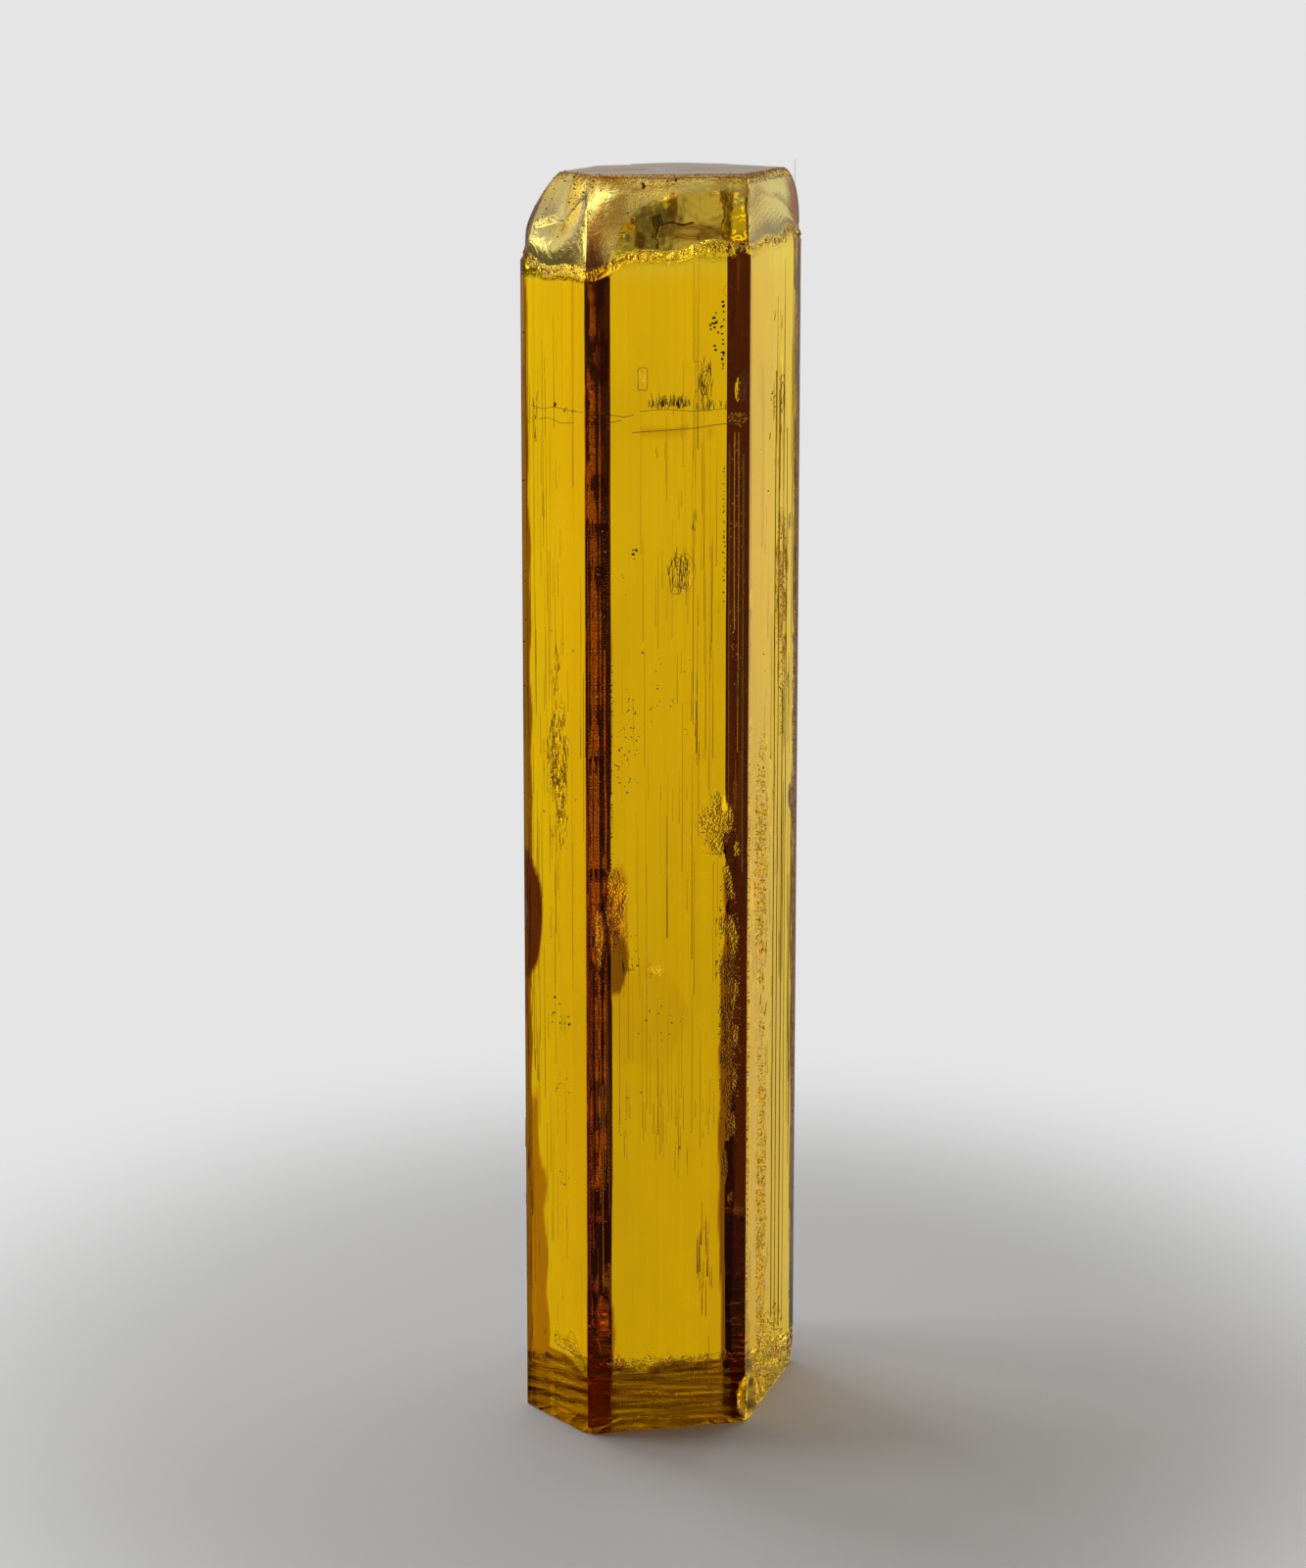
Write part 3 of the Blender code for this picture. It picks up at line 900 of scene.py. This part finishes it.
fineTubes = {
    "seed": 12,
    "sizes": (0.035, 0.06),
    "stretch": (20, 90),
    "tumble": 0.004,
    "fields": {
        "leftFace": (0, 5.0, 84.0, 2.6, 26.0, 24),
        "leftFaceLow": (0, 5.0, 34.0, 2.6, 24.0, 18),
        "frontLow": (1, 8.0, 31.0, 5.2, 5.0, 44),
        "front": (1, 9.6, 80.0, 3.6, 26.0, 30),
        "rightFace": (2, 9.0, 70.0, 5.0, 40.0, 30),
    },
}

shortTubes = {
    "seed": 3,
    "sizes": (0.05, 0.10),
    "stretch": (4, 14),
    "tumble": 0.22,
    "fields": {
        "leftEtch": (0, 5.7, 70.0, 1.7, 4.2, 150),
        "leftEtchLow": (0, 6.3, 64.0, 1.0, 4.0, 60),
        "leftEtchHigh": (0, 5.4, 77.5, 0.7, 2.6, 26),
        "leftTop": (0, 2.4, 102.0, 0.4, 2.4, 14),
        "veilBristles": (1, 8.3, 103.6, 2.2, 0.28, 90),
        "veilEnd": (1, 12.4, 103.3, 1.6, 0.3, 26),
        "rightOval": (1, 11.8, 105.4, 0.7, 2.4, 44),
        "middleOval": (1, 9.3, 87.4, 1.1, 2.0, 56),
        "cross": (1, 10.75, 92.4, 0.3, 0.7, 7),
        "tickRow": (1, 4.2, 48.6, 0.8, 0.5, 10),
        "rightDashes": (2, 8.6, 104.0, 2.6, 9.0, 8),
        "creamDashes": (2, 5.6, 44.0, 1.6, 6.0, 14),
        "frontDashes": (1, 7.0, 99.0, 0.1, 1.0, 2),
    },
}

redTubes = {
    "seed": 4,
    "sizes": (0.06, 0.12),
    "stretch": (12, 45),
    "tumble": 0.01,
    "fields": {
        "redStreaks": (1, 12.0, 16.5, 0.8, 4.8, 24),
        "leftReds": (0, 1.3, 26.0, 1.2, 26.0, 26),
        "reddish": (1, 11.0, 72.0, 0.15, 5.0, 3),
    },
}

goldGrains = {
    "seed": 5,
    "sizes": (0.07, 0.19),
    "stretch": (0.6, 2.2),
    "fields": {
        "rightBandHigh": (2, 10.6, 85.0, 1.9, 7.5, 220),
        "rightBandTail": (2, 11.0, 74.0, 0.8, 6.0, 90),
        "cornerBandHigh": (2, 4.2, 58.0, 2.0, 12.5, 380),
        "cornerBandLow": (2, 5.0, 22.0, 1.6, 21.0, 440),
        "fringe": (2, 0.35, 36.0, 0.30, 34.0, 420),
        "rightEdgeBand": (2, 15.6, 66.0, 0.7, 48.0, 320),
        "stripGrains": (1, 14.8, 44.0, 0.8, 12.0, 190),
        "stripGrainsHigh": (1, 15.0, 90.0, 0.8, 14.0, 110),
        "fan": (1, 12.9, 61.6, 1.4, 2.6, 60),
        "chipTop": (1, 2.9, 54.4, 0.9, 3.4, 50),
        "veilWarm": (1, 15.0, 102.4, 1.0, 0.6, 60),
        "leftStripGlints": (1, 1.4, 60.0, 0.8, 50.0, 50),
        "footRight": (2, 8.0, 5.0, 5.0, 4.5, 520),
    },
}

# pale yellow flakes where the foot, the right face and the cap show glints: painted highlights
glintFlakes = {
    "seed": 6,
    "sizes": (0.06, 0.18),
    "stretch": (0.5, 2.2),
    "fields": {
        "veilGlints": (2, 7.6, 103.0, 1.2, 1.2, 26),
        "footGlintsLeft": (0, 7.0, 8.3, 2.8, 0.4, 70),
        "footGlints": (1, 7.2, 7.5, 6.0, 0.30, 110),
        "capGlint": (1, 8.8, 119.0, 0.9, 0.22, 26),
    },
}

# each outline: side, place along it, height, half width, half height (mm), squareness, thickness (mm), turns
outlines = {
    "pane": (1, 5.65, 106.2, 0.46, 1.05, 6, 0.06, 1),
    "rightOval": (1, 11.75, 105.8, 0.60, 1.50, 2, 0.05, 3),
    "middleOval": (1, 9.0, 87.2, 0.85, 2.10, 2.6, 0.06, 2),
    "middleOvalEdge": (1, 9.9, 87.8, 0.9, 1.7, 2, 0.04, 1),
    "rightLoop": (2, 10.6, 103.4, 0.9, 2.2, 2, 0.07, 2),
    "stripLoop": (1, 15.6, 105.6, 0.40, 1.3, 2, 0.06, 2),
    "stripLoopLow": (1, 15.4, 76.0, 0.55, 3.0, 2, 0.06, 2),
    "ring": (1, 14.0, 114.3, 0.45, 0.55, 2, 0.03, 1),
}

# strands: finish, thickness (mm), side, inset (mm) and the points that each passes (place along, height, mm)
strands = {
    "veilLine": ("dark_glass", 0.07, 1, 0.0, (
        (4.6, 101.2), (7.5, 101.35), (10.6, 101.5), (13.2, 101.8), (15.4, 101.9))),
    "veilUpper": ("dark_glass", 0.05, 1, 0.0, (
        (5.4, 103.2), (8.0, 103.3), (11.0, 103.1), (14.0, 103.3), (16.0, 103.2))),
    "veilFront": ("dark_mineral", 0.06, 1, 0.0, (
        (0.2, 103.0), (1.6, 102.8), (2.6, 102.9), (3.8, 102.7), (4.8, 102.9))),
    "veilFrontLow": ("dark_mineral", 0.06, 1, 0.0, (
        (0.3, 102.5), (1.0, 102.2), (1.7, 102.0), (2.4, 102.2), (3.6, 102.4))),
    "veilLeft": ("dark_glass", 0.05, 0, 0.0, (
        (1.8, 103.2), (3.6, 103.0), (5.2, 103.3), (7.4, 103.2), (9.7, 103.2))),
    "veilLeftLow": ("dark_glass", 0.05, 0, 0.0, ((3.0, 102.0), (4.6, 102.2), (6.4, 101.9), (8.4, 102.1))),
    "chipArc": ("gold_grain", 0.05, 1, 0.0, ((1.9, 50.2), (2.5, 50.6), (3.2, 50.6), (3.6, 50.3))),
    "chipArcLow": ("gold_grain", 0.05, 1, 0.0, ((2.2, 47.2), (2.7, 47.4), (3.1, 47.9))),
    "chipSplit": ("dark_mineral", 0.12, 1, 0.0, (
        (1.7, 55.4), (2.0, 53.6), (2.1, 51.6), (1.7, 49.4), (1.5, 47.4))),
    "footLineLeft": ("gold_grain", 0.09, 0, 0.2, (
        (4.6, 8.3), (6.0, 8.0), (7.2, 8.1), (8.6, 7.9), (9.9, 8.2))),
    "footArch": ("gold_grain", 0.07, 0, 0.2, ((6.6, 9.0), (7.2, 10.2), (7.9, 9.9), (8.4, 8.9), (8.9, 8.3))),
    "footLine": ("gold_grain", 0.07, 1, 0.2, (
        (2.6, 6.6), (4.4, 6.5), (6.6, 6.8), (9.0, 7.2), (12.0, 7.5), (14.6, 7.9))),
    "rightLineA": ("amber_line", 0.15, 2, 0.0, (
        (8.6, 106.0), (8.5, 90.0), (8.6, 62.0), (8.5, 34.0), (8.6, 8.0))),
    "rightLineB": ("amber_line", 0.12, 2, 0.0, (
        (9.8, 104.0), (9.8, 84.0), (9.8, 58.0), (9.8, 36.0), (9.8, 6.0))),
    "rightLineC": ("amber_line", 0.15, 2, 0.0, (
        (11.2, 74.0), (11.2, 60.0), (11.2, 44.0), (11.2, 20.0), (11.2, 6.0))),
    "rightLineD": ("amber_line", 0.09, 2, 0.0, (
        (12.4, 100.0), (12.5, 80.0), (12.4, 50.0), (12.5, 24.0), (12.4, 6.0))),
    "footScratch": ("gold_grain", 0.06, 1, 0.0, ((1.0, 10.2), (1.5, 8.6))),
    "footGoldA": ("gold_grain", 0.07, 1, 0.0, ((3.4, 6.6), (3.4, 1.4))),
    "footGoldB": ("gold_grain", 0.06, 1, 0.0, ((5.1, 5.4), (5.1, 2.6))),
    "footGoldC": ("gold_grain", 0.06, 1, 0.0, ((6.9, 3.6), (6.9, 1.0))),
    "footGoldD": ("gold_grain", 0.06, 1, 0.0, ((10.4, 6.6), (10.4, 2.8))),
    "footGoldE": ("gold_grain", 0.05, 1, 0.0, ((10.9, 6.2), (10.9, 2.6))),
    "footGoldF": ("gold_grain", 0.08, 1, 0.0, ((12.4, 9.6), (12.4, 1.2))),
    "stripGold": ("gold_grain", 0.07, 1, 0.0, ((1.6, 37.0), (1.6, 24.0), (1.65, 16.0))),
    "stripGoldRight": ("gold_grain", 0.10, 1, 0.0, ((14.7, 101.0), (14.7, 92.0), (14.75, 82.0))),
    "stripLineA": ("amber_line", 0.10, 1, 0.0, ((14.2, 100.0), (14.2, 84.0), (14.25, 62.0))),
    "stripLineB": ("gold_grain", 0.08, 1, 0.0, ((15.1, 101.0), (15.15, 88.0), (15.1, 70.0))),
    "stripLineC": ("amber_line", 0.12, 1, 0.0, ((15.6, 99.0), (15.6, 80.0), (15.65, 58.0))),
    "hookTop": ("dark_glass", 1.05, 1, 1.0, ((6.95, 121.3), (7.1, 120.9), (7.25, 120.3))),
    "hookMiddle": ("dark_glass", 0.62, 1, 1.0, ((7.2, 120.4), (7.05, 119.9), (6.8, 119.2))),
    "hookTail": ("dark_glass", 0.26, 1, 1.0, ((6.8, 119.3), (7.1, 118.9), (7.15, 118.2))),
    "hookGlint": ("gold_grain", 0.16, 1, 0.3, ((6.75, 119.9), (6.85, 119.3), (7.1, 118.7))),
    "capMark": ("dark_glass", 0.20, 1, 1.0, ((7.8, 120.5), (8.8, 120.6), (9.8, 120.4), (11.0, 120.6))),
    "capLine": ("brown_tube", 0.06, 1, 0.4, ((13.85, 123.4), (13.85, 119.3))),
}

capDisc = {
    "finish": "brown_tube",
    "place": (10.6, 119.7),
    "halfSize": (3.6, 0.7),
    "squareness": 2,
    "turns": 6,
    "inset": 1.2,
    "tilt": -0.04,
    "thickness": 0.04,
}

# grains on the crystal's own surface, between two heights and before a furthest right and back (mm)
rimRust = {
    "seed": 7,
    "sizes": (0.05, 0.13),
    "stretch": (0.5, 1.2),
    "heights": (124.1, 124.95),
    "before": (20, 4),
    "count": 2400,
}
rimSpecks = {
    "seed": 8,
    "sizes": (0.10, 0.24),
    "stretch": (0.6, 1.2),
    "heights": (123.3, 125),
    "before": (-4, 20),
    "count": 34,
}
capSpecks = {
    "seed": 9,
    "sizes": (0.07, 0.20),
    "stretch": (0.6, 1.2),
    "heights": (118.6, 124),
    "before": (-3, -6),
    "count": 60,
}

# which grains and needles each finish has
scattered = {
    "dark_mineral": (darkGrains, darkSpecks, rimSpecks, capSpecks),
    "brown_tube": (growthTubes, fineTubes),
    "dark_glass": (shortTubes,),
    "red_tube": (redTubes,),
    "gold_grain": (goldGrains,),
    "glint_flake": (glintFlakes,),
    "rust": (rimRust,),
}
loops = {"steps": 36, "shrink": 0.7, "wobble": 0.05, "wobbleTurns": 5.3}
fieldLimits = {"sideEdge": 0.05, "foot": 0.3, "needleTop": 115.0, "grainTop": 124.6}  # mm


def keepOnSide(side, places):
    edge = fieldLimits["sideEdge"]
    return np.clip(places, edge, sideLengths[side] / mm - edge)


def fieldPoints(fields, seed, reach=0.0):  # reach is half of the longest needle (mm)
    rng = np.random.default_rng(seed)
    found = []
    for side, run, height, halfWidth, halfHeight, count in fields.values():
        away = np.sqrt(rng.uniform(0, 1, count))
        way = rng.uniform(0, 2 * math.pi, count)
        places = run + halfWidth * away * np.cos(way)
        levels = height + halfHeight * away * np.sin(way)
        top = fieldLimits["needleTop"] - reach if reach else fieldLimits["grainTop"]
        levels = np.clip(levels, fieldLimits["foot"] + reach, top)
        found.append(onFace(side, keepOnSide(side, places), levels, 0.0))
    return np.concatenate(found)


def makeGrains(settings, tree, finish, crystalPiece):
    needle = settings["stretch"][1] > 3
    if "fields" in settings:
        reach = settings["sizes"][1] * settings["stretch"][1] / 2 if needle else 0.0
        points = fieldPoints(settings["fields"], settings["seed"], reach)
    else:
        points = surfacePoints(crystalPiece, settings)
    return growFromTree(tree, points, [], {
        "Smallest": settings["sizes"][0] * mm, "Largest": settings["sizes"][1] * mm,
        "Shortest": float(settings["stretch"][0]), "Longest": float(settings["stretch"][1]),
        "Tumble": settings.get("tumble", math.pi), "Needle": needle, "Seed": settings["seed"] * 10,
        "Finish": finish})


def makeStrand(tree, points, thickness, finish):
    edges = [(index, index + 1) for index in range(len(points) - 1)]
    return growFromTree(tree, points, edges, {"Thickness": thickness * mm, "Finish": finish})


def loopPoints(side, run, height, halfWidth, halfHeight, squareness, turns, inset=0.0, tilt=0.0):
    full = 2 * math.pi * turns
    angles = np.linspace(0, full, loops["steps"] * turns + 1)
    shrink = 1 - loops["shrink"] * angles / full * (turns > 1)
    reach = shrink * (1 + loops["wobble"] * np.sin(angles * loops["wobbleTurns"] + height))
    across = np.sign(np.cos(angles)) * np.abs(np.cos(angles)) ** (2 / squareness) * reach
    up = np.sign(np.sin(angles)) * np.abs(np.sin(angles)) ** (2 / squareness) * reach
    places = keepOnSide(side, run + halfWidth * across)
    return onFace(side, places, height + halfHeight * up + tilt * halfWidth * across, inset)


def bendThrough(points, steps=6):  # a smooth line through the points
    points = np.array(points, float)
    padded = np.concatenate((2 * points[:1] - points[1:2], points, 2 * points[-1:] - points[-2:-1]))
    line = []
    for a, b, c, d in zip(padded, padded[1:], padded[2:], padded[3:]):
        for t in np.arange(steps) / steps:
            line.append(b + 0.5 * t * (c - a + t * (2 * a - 5 * b + 4 * c - d + t * (3 * (b - c) + d - a))))
    return np.array(line + [points[-1]])


def surfacePoints(crystalPiece, settings):  # random places on the crystal's own surface
    rng = np.random.default_rng(settings["seed"])
    places = np.array([vertex.co[:] for vertex in crystalPiece.data.vertices]) / mm
    low, high = settings["heights"]
    right, back = settings["before"]
    x, y, z = places.T
    found = places[(np.hypot(x, y) > 9) & (z > low) & (z < high) & (x < right) & (y < back)]
    picked = found[rng.integers(0, len(found), settings["count"])]
    return (picked + rng.normal(0, 0.05, picked.shape)) * mm


def makeMarks(crystalPiece):
    grains, strand = grainTree(), strandTree()
    finishes = {name: stoneMaterial(name, *values) for name, values in stones.items()}
    parts = {name: [] for name in stones}
    for name, kinds in scattered.items():
        parts[name] = [makeGrains(settings, grains, finishes[name], crystalPiece) for settings in kinds]
    for side, run, height, halfWidth, halfHeight, squareness, thickness, turns in outlines.values():
        line = loopPoints(side, run, height, halfWidth, halfHeight, squareness, turns)
        parts["dark_glass"].append(makeStrand(strand, line, thickness, finishes["dark_glass"]))
    for finish, thickness, side, inset, places in strands.values():
        runs, heights = bendThrough(places).T
        line = onFace(side, runs, heights, inset)
        parts[finish].append(makeStrand(strand, line, thickness, finishes[finish]))
    finish, thickness = capDisc["finish"], capDisc["thickness"]
    line = loopPoints(1, *capDisc["place"], *capDisc["halfSize"], capDisc["squareness"], capDisc["turns"],
                      capDisc["inset"], capDisc["tilt"])
    parts[finish].append(makeStrand(strand, line, thickness, finishes[finish]))
    for name, meshes in parts.items():
        joinPiece(name + "_marks", meshes, finishes[name])


floor = {"radius": 0.16, "fadeFrom": 0.04, "fadeTo": 0.12, "grey": 0.75, "gap": 0.05 * mm}


def makeFloor():
    angles = np.linspace(0, 2 * math.pi, 96, endpoint=False)
    ring = [(floor["radius"] * math.cos(a), floor["radius"] * math.sin(a), -floor["gap"]) for a in angles]
    mesh = bpy.data.meshes.new("floor")
    mesh.from_pydata(ring, [], [range(len(ring))])
    sheet = bpy.data.objects.new("floor", mesh)
    bpy.context.collection.objects.link(sheet)
    material, tree, shader = newMaterial("pale_floor")
    shader.inputs["Base Color"].default_value = (floor["grey"],) * 3 + (1,)
    shader.inputs["Roughness"].default_value = 0.7
    place = addNode(tree, "ShaderNodeTexCoord").outputs["Object"]
    reach = addNode(tree, "ShaderNodeVectorMath", {"operation": "LENGTH"}, {0: place}).outputs["Value"]
    fade = addNode(tree, "ShaderNodeMapRange", {"interpolation_type": "SMOOTHERSTEP"}, {
        "Value": reach, "From Min": floor["fadeFrom"], "From Max": floor["fadeTo"]})
    clear = addNode(tree, "ShaderNodeBsdfTransparent")
    blend = addNode(tree, "ShaderNodeMixShader", inputs={
        0: fade.outputs[0], 1: shader.outputs[0], 2: clear.outputs[0]})
    tree.links.new(blend.outputs[0], tree.nodes["Material Output"].inputs["Surface"])
    mesh.materials.append(material)
    sheet.visible_glossy = False
    sheet.visible_transmission = False


# the backdrop's brightness by compass angle (0 is behind the crystal, right is positive) and by height angle
backdrop = {
    "around": (
        (-180, 0.75), (-170, 0.60), (-145, 0.35), (-137, 0.30), (-129, 0.02), (-113, 0.018), (-98, 0.02),
        (-63, 0.05), (-58, 1.15), (-45, 1.15), (-38, 1.50), (-15, 1.50), (-7, 0.95), (5, 0.95), (10, 1.90),
        (28, 1.90), (35, 0.52), (39, 0.52), (42, 1.15), (49, 1.15), (54, 1.35), (66, 1.35), (80, 0.40),
        (104, 0.40), (112, 0.06), (129, 0.06), (137, 0.30), (148, 0.06), (166, 0.06), (176, 0.75)),
    "brightest": 2.0,
    "upwards": ((-90, 0.70), (-20, 0.75), (-8, 0.85), (0, 1.0), (5, 0.9), (14, 0.25), (24, 0.13), (60, 0.20)),
    "below": (-38, -28, 0.9),  # the height angles where the table's light gives way to it, and that light
    "reflected": ((-25, 0.0), (-21.5, 1.0), (5, 1.0), (10, 2.2), (24, 2.2), (34, 1.0)),  # share mirrored
    "reflectedScale": 2.5,
    "mostReflected": 0.45,
    "reflectedTone": (1.0, 0.94, 0.78, 1.0),
    "brownWays": ((-114, 20), (120, 12), (157, 12)),  # compass angle and spread of the brown stretches
    "brown": (1.0, 0.30, 0.05),
    "seen": 0.78,
}
white = (1, 1, 1, 1)

# soft lights: compass angle, height angle, distance, width, height (m), brightness, height aimed at
softLights = {
    "top": (20, 80, 0.40, 0.22, 0.22, 2.6, 0.06),
    "left": (-80, 24, 0.35, 0.14, 0.14, 6.0, 0.06),
    "leftBack": (-45, 42, 0.38, 0.14, 0.12, 6.0, 0.06),
    "rightBack": (37, 18, 0.40, 0.20, 0.10, 0.9, 0.06),
    "lowRight": (-53, 27, 0.40, 0.14, 0.08, 0.35, 0.0),
}


def brightnessRamp(tree, angle, halfTurn, stops, scale):
    share = rangeNode(tree, angle, -math.radians(halfTurn), math.radians(halfTurn))
    ramp = addNode(tree, "ShaderNodeValToRGB", inputs={"Fac": share})
    ramp.color_ramp.interpolation = "EASE"
    while len(ramp.color_ramp.elements) > 1:
        ramp.color_ramp.elements.remove(ramp.color_ramp.elements[-1])
    for index, (degrees, value) in enumerate(stops):
        position = (degrees + halfTurn) / (2 * halfTurn)
        stop = ramp.color_ramp.elements[0] if index == 0 else ramp.color_ramp.elements.new(position)
        stop.position = position
        shade = value if isinstance(value, tuple) else (value,) * 3
        stop.color = (*(part / scale for part in shade), 1)
    return ramp.outputs["Color"]


def brownTone(tree, compass):
    plain, brown = white[:3], backdrop["brown"]
    tones = [(-180, plain)]
    for way, spread in backdrop["brownWays"]:
        tones += [(way - spread, plain), (way - spread / 2, brown)]
        tones += [(way + spread / 2, brown), (way + spread, plain)]
    return brightnessRamp(tree, compass, 180, tones, 1.0)


def makeBackdrop():
    world = bpy.data.worlds.new("soft_backdrop")
    world.use_nodes = True
    tree = world.node_tree
    direction = addNode(tree, "ShaderNodeTexCoord").outputs["Generated"]
    parts = addNode(tree, "ShaderNodeSeparateXYZ", inputs={0: direction}).outputs
    compass = mathNode(tree, "ARCTAN2", parts["X"], parts["Y"])
    upwards = mathNode(tree, "ARCSINE", parts["Z"])
    rays = addNode(tree, "ShaderNodeLightPath").outputs
    bounced = mathNode(tree, "MULTIPLY", rays["Is Glossy Ray"], rays["Is Reflection Ray"])
    around = brightnessRamp(tree, compass, 180, backdrop["around"], backdrop["brightest"])
    height = brightnessRamp(tree, upwards, 90, backdrop["upwards"], 1.0)
    strength = mathNode(tree, "MULTIPLY", mathNode(tree, "MULTIPLY", around, height), backdrop["brightest"])
    low, high, below = backdrop["below"]
    tableShare = rangeNode(tree, upwards, math.radians(low), math.radians(high))
    strength = blendValues(tree, tableShare, below, strength)
    mirrored = brightnessRamp(tree, upwards, 90, backdrop["reflected"], backdrop["reflectedScale"])
    mirrored = mathNode(tree, "MULTIPLY", strength, mirrored)
    mirrored = mathNode(tree, "MULTIPLY", mirrored, backdrop["reflectedScale"])
    mirrored = mathNode(tree, "MINIMUM", mirrored, backdrop["mostReflected"])
    strength = blendValues(tree, bounced, strength, mirrored)
    strength = blendValues(tree, rays["Is Camera Ray"], strength, backdrop["seen"])
    tone = blendColours(tree, tableShare, white, brownTone(tree, compass))
    tone = blendColours(tree, bounced, tone, backdrop["reflectedTone"])
    tone = blendColours(tree, rays["Is Camera Ray"], tone, white)
    tree.links.new(tone, tree.nodes["Background"].inputs["Color"])
    tree.links.new(strength, tree.nodes["Background"].inputs["Strength"])
    bpy.context.scene.world = world
    print("backdrop:", len(backdrop["around"]), "stops")


# the strips glow: emitting sheets that light the cap from behind, and the bright glow strip puts the cream
# highlights into it
flags = {
    "patchScale": 130.0,
    "patchRange": (0.35, 0.65),
    "patchShades": (0.4, 1.8),
    "strips": {  # distance, angles, bottom, top (mm), brightness
        "leftBehind": (70, -75, -25, 113.6, 126, 0.22),
        "behind": (70, -25, 20, 112, 126, 0.33),
        "right": (70, 20, 70, 109, 140, 0.14),
        "glow": (67, 8, 27, 103, 112.5, 4.2),
    },
}


def makeFlags():  # dim and bright strips behind the cap, which only the crystal sees
    for name, (distance, start, end, bottom, top, brightness) in flags["strips"].items():
        angles = np.radians(np.linspace(start, end, 24))
        rim = np.stack((np.sin(angles), np.cos(angles)), axis=-1) * distance * mm
        points = [(x, y, level * mm) for level in (bottom, top) for x, y in rim]
        count = len(rim)
        faces = [(i, i + 1, i + 1 + count, i + count) for i in range(count - 1)]
        mesh = bpy.data.meshes.new("flag_" + name)
        mesh.from_pydata(points, [], faces)
        sheet = bpy.data.objects.new("flag_" + name, mesh)
        bpy.context.collection.objects.link(sheet)
        material, tree, shader = newMaterial("glow_sheet_" + name)
        shader.inputs["Base Color"].default_value = (0, 0, 0, 1)
        shader.inputs["Specular IOR Level"].default_value = 0.0
        shader.inputs["Emission Color"].default_value = (1, 1, 1, 1)
        place = addNode(tree, "ShaderNodeTexCoord").outputs["Object"]
        patches = noiseNode(tree, place, flags["patchScale"], 1.0)
        dimmest, brightest = (share * brightness for share in flags["patchShades"])
        patches = rangeNode(tree, patches, *flags["patchRange"], dimmest, brightest)
        tree.links.new(patches, shader.inputs["Emission Strength"])
        mesh.materials.append(material)
        sheet.visible_camera = False
        sheet.visible_shadow = False
        sheet.visible_diffuse = False
        sheet.visible_glossy = False


def makeLights():
    for name, (compass, upwards, distance, width, height, brightness, aim) in softLights.items():
        a, e = math.radians(compass), math.radians(upwards)
        heading = Vector((math.sin(a) * math.cos(e), math.cos(a) * math.cos(e), math.sin(e)))
        light = bpy.data.lights.new(name, "AREA")
        light.shape = "RECTANGLE"
        light.size = width
        light.size_y = height
        light.energy = brightness * math.pi * width * height
        lamp = bpy.data.objects.new(name, light)
        bpy.context.collection.objects.link(lamp)
        lamp.location = Vector((0, 0, aim)) + heading * distance
        lamp.rotation_euler = (-heading).to_track_quat("-Z", "Y").to_euler()
        lamp.visible_camera = False
        lamp.visible_glossy = name == "top"  # the others aren't mirrored in the faces
    print("lights:", len(softLights))


camera = {"lens": 73.78, "place": (-0.9 * mm, -314.9 * mm, 139.5 * mm), "tilt": math.radians(13.48)}


def makeCamera():
    eye = bpy.data.cameras.new("camera")
    eye.lens = camera["lens"]
    eye.clip_start = 0.01
    stand = bpy.data.objects.new("camera", eye)
    bpy.context.collection.objects.link(stand)
    stand.location = camera["place"]
    stand.rotation_euler = (math.pi / 2 - camera["tilt"], 0, 0)
    bpy.context.scene.camera = stand


def setLook():
    scene = bpy.context.scene
    scene.view_settings.view_transform = "Standard"
    scene.cycles.max_bounces = 24
    scene.cycles.transmission_bounces = 24
    scene.cycles.glossy_bounces = 16


makeCamera()
makeFloor()
makeBackdrop()
makeFlags()
makeLights()
setLook()
makeMarks(makeCrystal())
